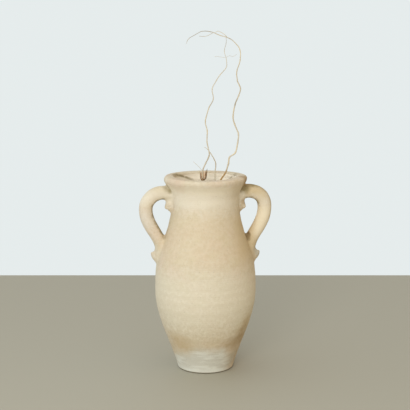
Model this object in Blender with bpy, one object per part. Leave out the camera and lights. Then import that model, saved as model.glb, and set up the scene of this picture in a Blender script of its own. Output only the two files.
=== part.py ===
"""Two-handled clay planter with dry stems.

A turned jar is built in three sections that lap at two seams. A coiled handle is luted to
each side, a curved shard covers the drain hole, gravel and potting mix fill the jar, and
three dry stems stand loose in holes in the mix.
Metres, +Z up, origin at the centre of the foot, handles along X.
"""

import math

import bmesh
import bpy
import numpy as np
from mathutils import Matrix

# Outside of the jar, from the foot up
FOOT_RADIUS = 0.100
FOOT_FLARE = 0.24  # outward run per metre of height as the wall leaves the foot
FOOT_CHAMFER = 0.004
BELLY_RADIUS = 0.1816
BELLY_HEIGHT = 0.286
SHOULDER_RADIUS = 0.161
SHOULDER_RISE = 0.154  # belly to shoulder, where the handles come down
SHOULDER_SLOPE = -0.39
NECK_RADIUS = 0.120
NECK_RISE = 0.153  # shoulder to the bottom of the neck
NECK_SLOPE = -0.12
NECK_LENGTH = 0.032
LIP_OVERHANG = 0.0266
LIP_RISE = 0.0695  # top of the neck to the widest ring of the lip
LIP_FLARE = 0.12  # outward run per metre of height at that ring
LIP_ROUND = 0.0075
LIP_WIDTH = 0.0346  # seen from above, from the lip's edge to the mouth
MOUTH_ROUND = 0.007

# Wall, floor and seams
WALL = 0.013
FLOOR = 0.018
DRAIN_RADIUS = 0.014
SEAM_LAP = 0.008
GAP = 0.0003  # slip between touching pieces

# Handles: a coil that leaves the neck level, bends down and lands on the shoulder
HANDLE_RAISE = 0.0195  # centre of the upper root above the top of the neck
HANDLE_RUN = 0.030  # level run before the bend
HANDLE_SPAN = 0.0932  # neck to the outermost point of the coil's centre line
HANDLE_BEND = 0.0587  # height of the bend
HANDLE_EASE = 0.065  # how long the coil keeps straight down after the bend
HANDLE_LANDING = 0.050  # how long it runs along the wall before it ends
HANDLE_SINK = 0.001  # centre of the coil's end inside the wall
COIL_TOP = 0.049
COIL_LOW = 0.039
COIL_THINNING = 4  # shape of the thinning: above 1 the coil stays stout for longer

# Curls that finish the coil: a tail under the upper root and a spur below the lower end
CURL_WIDTH = 0.034
CURL_TIP = 0.008
TAIL_DEPTH = 0.054  # height of the tail where it leaves the neck
TAIL_DROP = 0.0425  # centre of the tail below the centre of the upper root
TAIL_REACH = 0.0215
TAIL_DIP = 0.0115  # how much lower the tail's tip is
TAIL_BELLY = 2.6  # shape of the thinning: above 1 the tail stays deep for longer
SPUR_DEPTH = 0.052
SPUR_DROP = 0.0285
SPUR_REACH = 0.0315
SPUR_LIFT = 0.0113
SPUR_BELLY = 1.4

# Filling
SHARD_COVER = 0.012  # shard past the edge of the drain hole
SHARD_THICKNESS = 0.010
SHARD_LENGTH = 0.060
SHARD_ARCH = math.radians(55)  # half the angle of the shard's arch
GRAVEL_DEPTH = 0.080
SOIL_BELOW_RIM = 0.085
SOIL_CROWN = 0.006
FILL_GAP = 0.0012  # dry filling shrinks away from the wall

# Stems
STEM_DEPTH = 0.120  # how deep a stem is planted
STEM_PLAY = 0.001
STEM_TAPER = 0.55  # shape of the thinning: below 1 a stem stays stout for longer
TWIG_TIP = 0.0009
TWIG_ROOT = 0.8  # radius of a twig where it leaves, as a share of its stem's radius there
SHEATH_BASE = 0.072  # height of the dry leaf sheath above the mix
SHEATH_HEIGHT = 0.034
SHEATH_FLARE = 0.0085
SHEATH_THICKNESS = 0.0014
SHEATH_WRAP = math.radians(250)
SHEATH_START = math.radians(-40)

# Fineness of the facets
SIDES = 48
LEVEL = 0.030
ROUND_STEPS = 5
COIL_STEPS = 10
CURL_STEPS = 5
DOME_TURNS = np.radians((30, 60, 80))
CROWN_STEPS = 4
STEM_STEPS = 3
COIL_FACETS = 4
STEM_FACETS = 2
HOLE_SIDES = 16
SHEATH_STEPS = 12
MERGE = 1e-6
SMOOTH_ANGLE = math.radians(40)

# Heights and radii that follow from the sizes above
SHOULDER_Z = BELLY_HEIGHT + SHOULDER_RISE
NECK_Z = SHOULDER_Z + NECK_RISE
LIP_FOOT_Z = NECK_Z + NECK_LENGTH
LIP_Z = LIP_FOOT_Z + LIP_RISE
RIM_Z = LIP_Z + LIP_ROUND
LIP_RADIUS = NECK_RADIUS + LIP_OVERHANG
MOUTH_RADIUS = LIP_RADIUS - LIP_WIDTH
MOUTH_Z = RIM_Z - MOUTH_ROUND
GRAVEL_Z = FLOOR + GRAVEL_DEPTH
SOIL_Z = RIM_Z - SOIL_BELOW_RIM

# Each stem: where it enters the mix, its diameter there, and its route above the mix.
# A route's points are (x, y, z) from the entry, and each twig's route starts on the stem.
STEMS = {
    "left_stem": {
        "entry": (-0.010, -0.010),
        "diameter": 0.0055,
        "route": [
            (0.000, 0.000, 0.075), (-0.001, 0.000, 0.104), (0.010, 0.001, 0.130),
            (0.021, 0.003, 0.152), (0.023, 0.004, 0.169), (0.016, 0.010, 0.204),
            (0.017, 0.016, 0.243), (0.011, 0.020, 0.278), (0.023, 0.016, 0.324),
            (0.039, 0.020, 0.355), (0.035, 0.026, 0.390), (0.051, 0.028, 0.421),
            (0.065, 0.026, 0.441), (0.086, 0.030, 0.467), (0.086, 0.036, 0.495),
            (0.079, 0.038, 0.522), (0.086, 0.040, 0.550), (0.086, 0.044, 0.576),
        ],
        "twigs": [
            [(-0.001, 0.000, 0.102), (-0.009, -0.010, 0.112), (-0.022, -0.016, 0.126),
             (-0.035, -0.020, 0.138)],
            [(0.085, 0.037, 0.500), (0.068, 0.040, 0.501), (0.055, 0.038, 0.504),
             (0.046, 0.040, 0.503)],
            [(0.085, 0.037, 0.500), (0.098, 0.040, 0.506), (0.110, 0.038, 0.503),
             (0.123, 0.040, 0.511)],
        ],
    },
    "middle_stem": {
        "entry": (0.038, 0.032),
        "diameter": 0.005,
        "route": [
            (0.000, 0.000, 0.090), (0.002, 0.002, 0.121), (-0.002, 0.002, 0.136),
            (-0.015, 0.000, 0.158), (-0.026, 0.002, 0.174), (-0.039, 0.004, 0.183),
        ],
        "twigs": [],
    },
    "right_stem": {
        "entry": (0.030, -0.034),
        "diameter": 0.0065,
        "route": [
            (0.004, 0.000, 0.030), (0.022, -0.002, 0.073), (0.038, -0.004, 0.100),
            (0.047, -0.008, 0.130), (0.051, -0.010, 0.154), (0.072, -0.008, 0.170),
            (0.080, -0.004, 0.204), (0.083, 0.000, 0.235), (0.070, 0.002, 0.270),
            (0.064, 0.000, 0.298), (0.071, -0.002, 0.338), (0.084, 0.002, 0.370),
            (0.090, 0.004, 0.394), (0.078, 0.000, 0.423), (0.077, -0.004, 0.455),
            (0.088, 0.000, 0.492), (0.088, 0.004, 0.525), (0.076, 0.006, 0.546),
            (0.052, 0.008, 0.566), (0.019, 0.010, 0.577), (-0.015, 0.006, 0.589),
            (-0.045, 0.002, 0.590), (-0.072, 0.000, 0.577), (-0.092, -0.002, 0.564),
            (-0.099, -0.004, 0.549),
        ],
        "twigs": [
            [(0.046, 0.008, 0.568), (0.034, 0.013, 0.580), (0.021, 0.017, 0.588),
             (0.011, 0.018, 0.591), (0.003, 0.019, 0.587)],
            [(-0.006, 0.007, 0.586), (-0.021, 0.013, 0.577), (-0.036, 0.016, 0.573),
             (-0.052, 0.014, 0.574)],
        ],
    },
}


def hermite(stations, z):
    """Radius at height z on the smooth curve through stations of (height, radius, slope)."""
    for (z0, r0, slope0), (z1, r1, slope1) in zip(stations, stations[1:]):
        if z <= z1:
            break
    rise = z1 - z0
    t = (z - z0) / rise
    ends = r0 * (1 + 2 * t) * (1 - t) ** 2 + r1 * t * t * (3 - 2 * t)
    return ends + rise * (slope0 * t * (1 - t) ** 2 + slope1 * t * t * (t - 1))


def outer_radius(z):
    stations = [
        (0.0, FOOT_RADIUS, FOOT_FLARE),
        (BELLY_HEIGHT, BELLY_RADIUS, 0.0),
        (SHOULDER_Z, SHOULDER_RADIUS, SHOULDER_SLOPE),
        (NECK_Z, NECK_RADIUS, NECK_SLOPE),
        (LIP_FOOT_Z, NECK_RADIUS, 0.0),
        (LIP_Z, LIP_RADIUS, LIP_FLARE),
    ]
    return hermite(stations, z)


def inner_radius(z):
    """The wall keeps its thickness up to the lip, where the bore opens to the mouth."""
    bore = NECK_RADIUS - WALL
    if z < LIP_FOOT_Z:
        return outer_radius(z) - WALL
    return hermite([(LIP_FOOT_Z, bore, 0.0), (MOUTH_Z, MOUTH_RADIUS, 0.0)], z)


def side(radius_at, low, high, step=LEVEL):
    """Points (radius, height) up one side of the wall, at about this step."""
    count = max(2, math.ceil((high - low) / step) + 1)
    return [(radius_at(z), z) for z in np.linspace(low, high, count)]


def arc(centre, radius, start, end, steps=ROUND_STEPS):
    """Points on an arc in the plane of an outline, angles in degrees."""
    turn = np.radians(np.linspace(start, end, steps + 1))
    return list(zip(centre[0] + radius * np.cos(turn), centre[1] + radius * np.sin(turn)))


def bezier(controls, steps):
    """Points along a Bezier curve of any degree."""
    controls = np.array(controls, float)
    degree = len(controls) - 1
    t = np.linspace(0.0, 1.0, steps + 1)[:, None]
    weights = [math.comb(degree, k) * t**k * (1 - t) ** (degree - k) for k in range(degree + 1)]
    return sum(weight * control for weight, control in zip(weights, controls))


def smooth_route(points, steps):
    """Points along a curve that passes through each of these and turns evenly at them."""
    points = np.array(points, float)
    before = np.vstack([2 * points[0] - points[1], points[:-1]])
    after = np.vstack([points[1:], 2 * points[-1] - points[-2]])
    slopes = (after - before) / 2
    t = np.linspace(0.0, 1.0, steps, endpoint=False)[:, None]
    spans = []
    for start, end, leave, arrive in zip(points, points[1:], slopes, slopes[1:]):
        ends = start * (1 + 2 * t) * (1 - t) ** 2 + end * t * t * (3 - 2 * t)
        spans.append(ends + leave * t * (1 - t) ** 2 + arrive * t * t * (t - 1))
    return np.vstack(spans + [points[-1:]])


def material(name, color, roughness):
    made = bpy.data.materials.get(name)
    if made is None:
        made = bpy.data.materials.new(name)
        made.use_nodes = True
        shader = made.node_tree.nodes["Principled BSDF"]
        shader.inputs["Base Color"].default_value = (*color, 1.0)
        shader.inputs["Roughness"].default_value = roughness
        shader.inputs["Metallic"].default_value = 0.0
    return made


def clay(name):
    return material(name + "_clay", (0.70, 0.58, 0.40), 0.85)


def bark(name):
    return material(name + "_bark", (0.47, 0.37, 0.24), 0.80)


def finished(name, mesh, finish=None):
    """Object made from a bmesh, merged, facing out and shaded smooth, at the world origin."""
    bmesh.ops.remove_doubles(mesh, verts=mesh.verts, dist=MERGE)
    bmesh.ops.recalc_face_normals(mesh, faces=mesh.faces)
    data = bpy.data.meshes.new(name)
    mesh.to_mesh(data)
    mesh.free()
    data.shade_smooth()
    data.set_sharp_from_angle(angle=SMOOTH_ANGLE)
    piece = bpy.data.objects.new(name, data)
    bpy.context.scene.collection.objects.link(piece)
    if finish is None:
        piece.hide_render = True
        piece.display_type = "WIRE"
    else:
        data.materials.append(finish)
    return piece


def turned(name, outline, finish=None, closed=True):
    """Solid turned about Z from (radius, height) points; an open outline starts and ends on Z."""
    mesh = bmesh.new()
    points = [mesh.verts.new((radius, 0.0, z)) for radius, z in outline]
    ends = points[1:] + points[:1] if closed else points[1:]
    edges = [mesh.edges.new(pair) for pair in zip(points, ends)]
    bmesh.ops.spin(
        mesh, geom=points + edges, axis=(0, 0, 1), cent=(0, 0, 0),
        angle=math.tau, steps=SIDES, use_merge=True,
    )
    return finished(name, mesh, finish)


def tube(name, points, radii, facets, finish=None):
    """Round bar along a path, with its own radius at each point and flat ends."""
    curve = bpy.data.curves.new(name, "CURVE")
    curve.dimensions = "3D"
    curve.bevel_depth = 1.0
    curve.bevel_resolution = facets
    curve.use_fill_caps = True
    spline = curve.splines.new("POLY")
    spline.points.add(len(points) - 1)
    for point, place, radius in zip(spline.points, points, radii):
        point.co = (*place, 1.0)
        point.radius = radius
    guide = bpy.data.objects.new(name, curve)
    bpy.context.scene.collection.objects.link(guide)
    graph = bpy.context.evaluated_depsgraph_get()
    swept = bpy.data.meshes.new_from_object(guide.evaluated_get(graph))
    bpy.data.objects.remove(guide)
    mesh = bmesh.new()
    mesh.from_mesh(swept)
    bpy.data.meshes.remove(swept)
    return finished(name, mesh, finish)


def extruded(name, outline, length, finish=None):
    """Outline of (x, z) points drawn out along Y, centred on it."""
    mesh = bmesh.new()
    face = mesh.faces.new([mesh.verts.new((x, -length / 2, z)) for x, z in outline])
    grown = bmesh.ops.extrude_face_region(mesh, geom=[face])["geom"]
    moved = [item for item in grown if isinstance(item, bmesh.types.BMVert)]
    bmesh.ops.translate(mesh, verts=moved, vec=(0.0, length, 0.0))
    return finished(name, mesh, finish)


def combine(piece, other, operation):
    change = piece.modifiers.new(other.name, "BOOLEAN")
    change.operation = operation
    change.solver = "EXACT"
    change.object = other


def seam_radius(z):
    """A seam laps half way through the wall."""
    return outer_radius(z) - WALL / 2


def tongue(z):
    """Top of a lower section: its inner half stands up inside the next one."""
    return [(seam_radius(z), z), (seam_radius(z), z + SEAM_LAP)]


def skirt(z):
    """Bottom of an upper section, from inside to outside, over the tongue below."""
    lap = seam_radius(z) + GAP
    return [(lap, z + SEAM_LAP + GAP), (lap, z + GAP)]


def base_section():
    outline = [(DRAIN_RADIUS, 0.0), (FOOT_RADIUS - FOOT_CHAMFER, 0.0)]
    outline += side(outer_radius, FOOT_CHAMFER, BELLY_HEIGHT)
    outline += tongue(BELLY_HEIGHT)
    outline += reversed(side(inner_radius, FLOOR, BELLY_HEIGHT + SEAM_LAP))
    outline += [(DRAIN_RADIUS, FLOOR)]
    return turned("base_section", outline, clay("base"))


def shoulder_section():
    outline = side(outer_radius, BELLY_HEIGHT + GAP, NECK_Z)
    outline += tongue(NECK_Z)
    outline += reversed(side(inner_radius, BELLY_HEIGHT + SEAM_LAP + GAP, NECK_Z + SEAM_LAP))
    outline += skirt(BELLY_HEIGHT)
    return turned("shoulder_section", outline, clay("shoulder"))


def lip_outline():
    """Outside of the lip from its foot up, over the round edge and into the mouth."""
    outline = side(outer_radius, LIP_FOOT_Z, LIP_Z, LIP_RISE / ROUND_STEPS)
    outline += arc((LIP_RADIUS - LIP_ROUND, LIP_Z), LIP_ROUND, 0, 90)[1:]
    return outline + arc((MOUTH_RADIUS + MOUTH_ROUND, MOUTH_Z), MOUTH_ROUND, 90, 180)


def neck_rim():
    outline = side(outer_radius, NECK_Z + GAP, LIP_FOOT_Z)[:-1]
    outline += lip_outline()
    bore = side(inner_radius, LIP_FOOT_Z, MOUTH_Z)[:-1]
    outline += reversed(side(inner_radius, NECK_Z + SEAM_LAP + GAP, LIP_FOOT_Z)[:-1] + bore)
    outline += skirt(NECK_Z)
    return turned("neck_rim", outline, clay("neck"))


def jar_cutter():
    """The whole jar as a solid, larger by the slip: it shapes what is luted to the wall."""
    outline = side(outer_radius, FOOT_CHAMFER, BELLY_HEIGHT)
    outline += side(outer_radius, BELLY_HEIGHT + GAP, NECK_Z)
    outline += side(outer_radius, NECK_Z + GAP, LIP_FOOT_Z)[:-1]
    outline += lip_outline()
    grown = [(radius + GAP, z) for radius, z in outline]
    return turned("jar_cutter", [(0.0, FOOT_CHAMFER)] + grown + [(0.0, MOUTH_Z)], closed=False)


def coil_path():
    """(x, z) points down the centre of a handle's coil, and its radius at each."""
    top = LIP_FOOT_Z + HANDLE_RAISE
    bend = np.array((NECK_RADIUS + HANDLE_RUN, top - HANDLE_BEND))
    outermost = NECK_RADIUS + HANDLE_SPAN
    landing = SHOULDER_RADIUS - HANDLE_SINK
    turn = np.linspace(math.pi / 2, 0.0, COIL_STEPS + 1)[:, None]
    swing = np.array((outermost - bend[0], HANDLE_BEND))
    arch = bend + swing * np.hstack([np.cos(turn), np.sin(turn)])
    fall = bezier(
        [
            (outermost, bend[1]),
            (outermost, bend[1] - HANDLE_EASE),
            (landing, SHOULDER_Z + HANDLE_LANDING),
            (landing, SHOULDER_Z),
        ],
        COIL_STEPS,
    )
    end = (landing, SHOULDER_Z - SPUR_DROP)
    path = np.vstack([[(NECK_RADIUS - WALL, top)], arch, fall[1:], [end]])
    thinning = np.linspace(0.0, 1.0, len(path)) ** COIL_THINNING
    return path, (COIL_TOP + (COIL_LOW - COIL_TOP) * thinning) / 2


def curl_path(root, tip, depth, belly):
    """(x, z) points from inside the wall behind a curl's root to its domed tip, and radii.

    The path bends towards the height of its tip as the square of the way along.
    """
    root, tip = np.array(root), np.array(tip)
    share = np.linspace(0.0, 1.0, CURL_STEPS + 1)
    path = root + (tip - root) * np.stack([share, share**2], axis=1)
    thick = depth + (CURL_TIP - depth) * share**belly
    along = path[-1] - path[-2]
    along /= np.linalg.norm(along)
    dome = tip + along * np.sin(DOME_TURNS)[:, None] * CURL_TIP / 2
    path = np.vstack([root - (WALL, 0.0), path, dome])
    return path, np.hstack([depth, thick, CURL_TIP * np.cos(DOME_TURNS)]) / 2


def curl(name, direction, root, tip, depth, belly):
    """A curl's horn, as wide along Y at its root as the curls are."""
    path, radii = curl_path(root, tip, depth, belly)
    points = [(direction * x, 0.0, z) for x, z in path]
    shape = tube(name, points, radii, COIL_FACETS)
    shape.data.transform(Matrix.Diagonal((1.0, CURL_WIDTH / depth, 1.0, 1.0)))
    return shape


def handle(name, direction, cutter):
    """Coil with its two curls on one side of the jar, cut to the wall that it is luted to."""
    path, radii = coil_path()
    points = [(direction * x, 0.0, z) for x, z in path]
    coil = tube(name, points, radii, COIL_FACETS, clay(name))
    tail_z = LIP_FOOT_Z + HANDLE_RAISE - TAIL_DROP
    tail_tip = (NECK_RADIUS + TAIL_REACH, tail_z - TAIL_DIP)
    tail = curl(name + "_tail", direction, (NECK_RADIUS, tail_z), tail_tip, TAIL_DEPTH, TAIL_BELLY)
    spur_z = SHOULDER_Z - SPUR_DROP
    spur_tip = (SHOULDER_RADIUS + SPUR_REACH, spur_z + SPUR_LIFT)
    spur_root = (SHOULDER_RADIUS, spur_z)
    spur = curl(name + "_spur", direction, spur_root, spur_tip, SPUR_DEPTH, SPUR_BELLY)
    combine(coil, tail, "UNION")
    combine(coil, spur, "UNION")
    combine(coil, cutter, "DIFFERENCE")
    return coil


def drain_shard_and_gravel():
    """An arched shard over the drain hole, and the gravel bed that lies round and over it."""
    inner = (DRAIN_RADIUS + SHARD_COVER) / math.sin(SHARD_ARCH)
    outer = inner + SHARD_THICKNESS
    bottom = FLOOR + GAP
    centre = (0.0, bottom - inner * math.cos(SHARD_ARCH))
    start, end = 90 - math.degrees(SHARD_ARCH), 90 + math.degrees(SHARD_ARCH)
    shard = arc(centre, outer, start, end) + arc(centre, inner, end, start)
    extruded("drain_shard", shard, SHARD_LENGTH, material("shard_clay", (0.55, 0.36, 0.23), 0.9))
    roof = arc(centre, outer + GAP, start, end)
    hollow = [(roof[0][0], 0.0)] + roof + [(roof[-1][0], 0.0)]
    pocket = extruded("shard_pocket", hollow, SHARD_LENGTH + 2 * GAP)
    sides = [(radius - FILL_GAP, z) for radius, z in side(inner_radius, bottom, GRAVEL_Z)]
    outline = [(0.0, bottom)] + sides + [(0.0, GRAVEL_Z)]
    bed = turned("gravel_bed", outline, material("gravel", (0.36, 0.34, 0.31), 0.9), closed=False)
    combine(bed, pocket, "DIFFERENCE")


def potting_soil():
    """Mix from the gravel up to its low crown, with a hole for each stem."""
    bottom = GRAVEL_Z + GAP
    sides = [(radius - FILL_GAP, z) for radius, z in side(inner_radius, bottom, SOIL_Z)]
    rim = sides[-1][0]
    shares = np.linspace(1.0, 0.0, CROWN_STEPS + 1)[1:]
    crown = [(rim * share, SOIL_Z + SOIL_CROWN * (1 - share**2)) for share in shares]
    outline = [(0.0, bottom)] + sides + crown
    soil = turned("potting_soil", outline, material("mix", (0.10, 0.07, 0.05), 0.95), closed=False)
    for name, stem in STEMS.items():
        mesh = bmesh.new()
        radius = stem["diameter"] / 2 + STEM_PLAY
        height = STEM_DEPTH + 2 * SOIL_CROWN
        bmesh.ops.create_cone(
            mesh, cap_ends=True, segments=HOLE_SIDES, radius1=radius, radius2=radius, depth=height,
        )
        hole = finished(name + "_hole", mesh)
        hole.location = (*stem["entry"], SOIL_Z - STEM_DEPTH - GAP + height / 2)
        combine(soil, hole, "DIFFERENCE")
    return soil


def tapered(start, end, count):
    """Radii that thin from a stem's thick end to its tip."""
    t = np.linspace(0.0, 1.0, count)
    return end + (start - end) * (1 - t) ** STEM_TAPER


def dry_stem(name, stem):
    """Stem with its side twigs; its origin lies where it enters the mix, on its pulling axis."""
    above = smooth_route([(0.0, 0.0, SOIL_CROWN)] + stem["route"], STEM_STEPS)
    points = np.vstack([[(0.0, 0.0, -STEM_DEPTH)], above])
    radius = stem["diameter"] / 2
    radii = np.hstack([radius, tapered(radius, TWIG_TIP, len(above))])
    piece = tube(name, points, radii, STEM_FACETS, bark(name))
    piece.location = (*stem["entry"], SOIL_Z)
    for number, route in enumerate(stem["twigs"]):
        twig_points = smooth_route(route, STEM_STEPS)
        nearest = np.linalg.norm(above - twig_points[0], axis=1).argmin()
        start = TWIG_ROOT * radii[nearest + 1]
        twig = tube(
            f"{name}_twig_{number}", twig_points,
            tapered(start, min(start, TWIG_TIP), len(twig_points)), STEM_FACETS,
        )
        twig.parent = piece
        combine(piece, twig, "UNION")
    return piece


def leaf_sheath(stem):
    """Dry leaf base that wraps the left stem and flares open at its top."""
    inside = STEMS["left_stem"]["diameter"] / 2 + GAP
    outside = inside + SHEATH_THICKNESS
    outline = [
        (inside, SHEATH_BASE),
        (outside, SHEATH_BASE),
        (outside + SHEATH_FLARE, SHEATH_BASE + SHEATH_HEIGHT),
        (inside + SHEATH_FLARE, SHEATH_BASE + SHEATH_HEIGHT),
    ]
    mesh = bmesh.new()
    points = [
        mesh.verts.new((r * math.cos(SHEATH_START), r * math.sin(SHEATH_START), z))
        for r, z in outline
    ]
    face = mesh.faces.new(points)
    bmesh.ops.spin(
        mesh, geom=[face], axis=(0, 0, 1), cent=(0, 0, 0),
        angle=SHEATH_WRAP, steps=SHEATH_STEPS, use_duplicate=False,
    )
    sheath = finished("leaf_sheath", mesh, material("dry_leaf", (0.33, 0.19, 0.09), 0.8))
    sheath.parent = stem
    return sheath


def build():
    for old in list(bpy.data.objects):
        bpy.data.objects.remove(old)
    base_section()
    shoulder_section()
    neck_rim()
    cutter = jar_cutter()
    handle("left_handle", -1, cutter)
    handle("right_handle", 1, cutter)
    drain_shard_and_gravel()
    potting_soil()
    stems = {name: dry_stem(name, stem) for name, stem in STEMS.items()}
    leaf_sheath(stems["left_stem"])


build()
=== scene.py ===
"""Two-handled clay planter: the finish of the jar, its filling and its dry stems.

Each piece is a surface worked out with numpy in the frame of the solid model: metres, +Z up,
the centre of the foot at the origin and the handles along X. A piece stands for the solid that
it replaces and rides on the same body.
"""

import math

import bmesh
import bpy
import numpy as np
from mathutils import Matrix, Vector


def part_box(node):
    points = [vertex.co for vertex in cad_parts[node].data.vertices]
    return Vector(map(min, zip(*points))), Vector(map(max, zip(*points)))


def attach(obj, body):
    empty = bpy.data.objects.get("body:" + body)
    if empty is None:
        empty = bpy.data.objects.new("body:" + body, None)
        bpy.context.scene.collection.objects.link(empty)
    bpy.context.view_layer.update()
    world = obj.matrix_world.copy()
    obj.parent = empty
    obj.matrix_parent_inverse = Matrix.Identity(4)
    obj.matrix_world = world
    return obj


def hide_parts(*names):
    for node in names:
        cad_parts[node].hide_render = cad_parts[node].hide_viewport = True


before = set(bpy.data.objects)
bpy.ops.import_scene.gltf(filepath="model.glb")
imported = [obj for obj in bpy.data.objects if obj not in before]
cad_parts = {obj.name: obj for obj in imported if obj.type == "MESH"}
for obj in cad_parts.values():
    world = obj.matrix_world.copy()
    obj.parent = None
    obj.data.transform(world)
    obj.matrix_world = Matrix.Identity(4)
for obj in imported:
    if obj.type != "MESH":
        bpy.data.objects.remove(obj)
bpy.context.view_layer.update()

TURN = 2 * math.pi

# Heights of the jar, from the foot up
BELLY_Z = 0.286
SHOULDER_Z = 0.440
NECK_Z = 0.593
LIP_FOOT_Z = 0.625
UNDER_LIP_Z = 0.668
LIP_Z = 0.6905
BORE_Z = 0.640
RIM_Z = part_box("neck_rim")[1].z

# Radii of the jar
FOOT_RADIUS = 0.100
BELLY_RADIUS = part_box("base_section")[1].x
SHOULDER_RADIUS = 0.161
NECK_RADIUS = 0.120
LIP_RADIUS = 0.148
UNDER_LIP_RADIUS = 0.1365
MOUTH_RADIUS = 0.112
DRAIN_RADIUS = 0.014

# Wall
WALL = 0.013
FLOOR = 0.018
FLOOR_ROUND = 0.010
FOOT_ROUND = 0.004
LIP_ROUND = RIM_Z - LIP_Z
MOUTH_ROUND = 0.007
MOUTH_Z = RIM_Z - MOUTH_ROUND
SEAM_LAP = 0.008
LIP_LEAN, LIP_LEAN_EASE = 0.003, 0.6
RIM_DIP = 0.003
SLIP = 0.0003

# The outside as (height, radius, slope) stations of a smooth curve
JAR_STATIONS = (
    (0.0, FOOT_RADIUS, 0.24),
    (BELLY_Z, BELLY_RADIUS, 0.0),
    (SHOULDER_Z, SHOULDER_RADIUS, -0.39),
    (NECK_Z, NECK_RADIUS, -0.12),
    (LIP_FOOT_Z, NECK_RADIUS, 0.0),
    (UNDER_LIP_Z, UNDER_LIP_RADIUS, 0.80),
    (LIP_Z, LIP_RADIUS, 0.0),
)

# Marks of the potter's fingers
FINE_PITCH, FINE_DEPTH = 0.0072, 0.00010
WIDE_PITCH, WIDE_DEPTH = 0.034, 0.00022
PITCH_DRIFT = 0.15
LUMP_SIZE, LUMP_DEPTH = 0.075, 0.0007
INNER_PITCH, INNER_DEPTH = 0.019, 0.0006

# Handles
COIL_Z = {"left": 0.6420, "right": 0.6447}
COIL_TOP = {"left": 0.0490, "right": 0.0497}
COIL_LOW = 0.039
COIL_THINNING = 4
ARCH_POWER = {"left": 2.0, "right": 2.3}
ROOT_DROP = 0.003
COIL_RUN = 0.030
COIL_SPAN = 0.0932
COIL_BEND = 0.0587
COIL_EASE = 0.065
COIL_LANDING = 0.050
COIL_SINK = 0.001
TAIL_ROOT = (NECK_RADIUS, 0.5955)
TAIL_TIP = (NECK_RADIUS + 0.0165, 0.590)
TAIL_DEPTH, TAIL_TIP_DEPTH, TAIL_BELLY = 0.044, 0.018, 1.0
SPUR_ROOT = (SHOULDER_RADIUS, SHOULDER_Z - 0.0285)
SPUR_TIP = (SHOULDER_RADIUS + 0.0315, SHOULDER_Z - 0.0172)
SPUR_DEPTH, SPUR_TIP_DEPTH, SPUR_BELLY = 0.052, 0.008, 1.4
CURL_WIDTH, CURL_TIP_WIDTH = 0.034, 0.014
CURL_BEHIND = 0.5
TAIL_FILLET, SPUR_FILLET = 0.024, 0.010
WALL_FILLET = 0.014
ROOT_SINK = 0.003
ROOT_UNDER = 0.00015
GAP_FADE = 0.006
HANDLE_LUMP_SIZE, HANDLE_LUMP_DEPTH = 0.022, 0.0005

# Shard over the drain hole
SHARD_ARCH = math.radians(55)
SHARD_REACH = DRAIN_RADIUS + 0.012
SHARD_THICKNESS = 0.010
SHARD_LENGTH = 0.060
SHARD_BREAK, SHARD_BREAK_SIZE = 0.05, 0.006
SHARD_ROUGH, SHARD_ROUGH_SIZE = 0.0005, 0.012

# Gravel: the stones' size, and shares of it for their half sizes, shaking and layers
GRAVEL_Z = FLOOR + 0.080
GRAVEL_STONE = 0.017
STONE_LEAST, STONE_MOST = 0.38, 0.52
STONE_SHAKE = 0.12
STONE_FIRST, STONE_LAYER, STONE_LAST = 0.5, 0.82, 0.3
STONE_UNEVEN = 0.22

# Mix: its level, the heights and sizes of its crumbs, and the loose chips on it
SOIL_Z = RIM_Z - 0.085
SOIL_CROWN = 0.006
FILL_GAP = 0.0012
CRUMB_HEIGHTS = (0.0016, 0.0013, 0.0008)
CRUMB_SIZES = (0.013, 0.006, 0.0028)
CHIPS = 260
CHIP_LEAST, CHIP_MOST = 0.0014, 0.0052
CHIP_SHAPE = (1.0, 0.75, 0.55)
CHIP_MARGIN = 0.008
CHIP_CLEAR = 0.012
CHIP_RISE, CHIP_UNEVEN = 0.4, 0.25

# Stems, and their bark: flutes are (number round, turn in each metre, depth), and a twig's bark
# is taken from another place of the noise
STEM_DEPTH = 0.120
STEM_PLAY = 0.001
STEM_TAPER = 0.55
STEM_WANDER, WANDER_SIZE = 0.0006, 0.012
TWIG_TIP = 0.0009
TWIG_ROOT, TWIG_MOST = 0.8, 0.0010
STEM_SLIM, TIP_SLIM = 0.86, 0.56
TWIG_SLIM = {"left_stem": 0.50, "right_stem": 0.85}
KNOT_SWELL, KNOT_LENGTH = 0.24, 1.6
FLUTES = ((5, 60, 0.05), (3, -35, 0.04))
BARK_ROUGH, BARK_ROUGH_SIZE, TWIG_OFFSET = 0.10, 0.0035, 0.5

# Dry leaf, and its strips: angle round the stem, height, lean, curl, half width, share of brown
LEAF_Z = SOIL_Z + 0.068
LEAF_FOOT, LEAF_START, LEAF_LEAN, LEAF_BEND = 0.0020, 0.0065, 0.4, 0.20
LEAF_CURL_FROM, LEAF_DROOP_FROM, LEAF_DROOP = 0.6, 0.75, 0.9
LEAF_SWAY, LEAF_WAVES, LEAF_CUP, LEAF_THICKNESS = 0.0008, 7, 40.0, 0.0004
LEAF_NARROW, LEAF_SWELL, LEAF_TAPER = 0.45, (0.08, 0.98), 6
LEAF_STRIPS = (
    (190, 0.030, 0.0034, -0.0010, 0.0022, 1.0), (160, 0.034, 0.0036, 0.0006, 0.0028, 0.6),
    (-15, 0.034, 0.0076, -0.0012, 0.0034, 0.9), (10, 0.038, 0.0100, 0.0010, 0.0036, 1.0),
    (36, 0.043, 0.0095, 0.0060, 0.0030, 1.0), (-55, 0.009, 0.0010, 0.0010, 0.0026, 1.0),
    (-105, 0.010, 0.0010, 0.0010, 0.0028, 1.0), (66, 0.034, 0.0040, 0.0010, 0.0060, 0.0),
    (96, 0.036, 0.0030, 0.0010, 0.0062, 0.0), (128, 0.033, 0.0030, 0.0010, 0.0056, 0.1),
)

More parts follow.
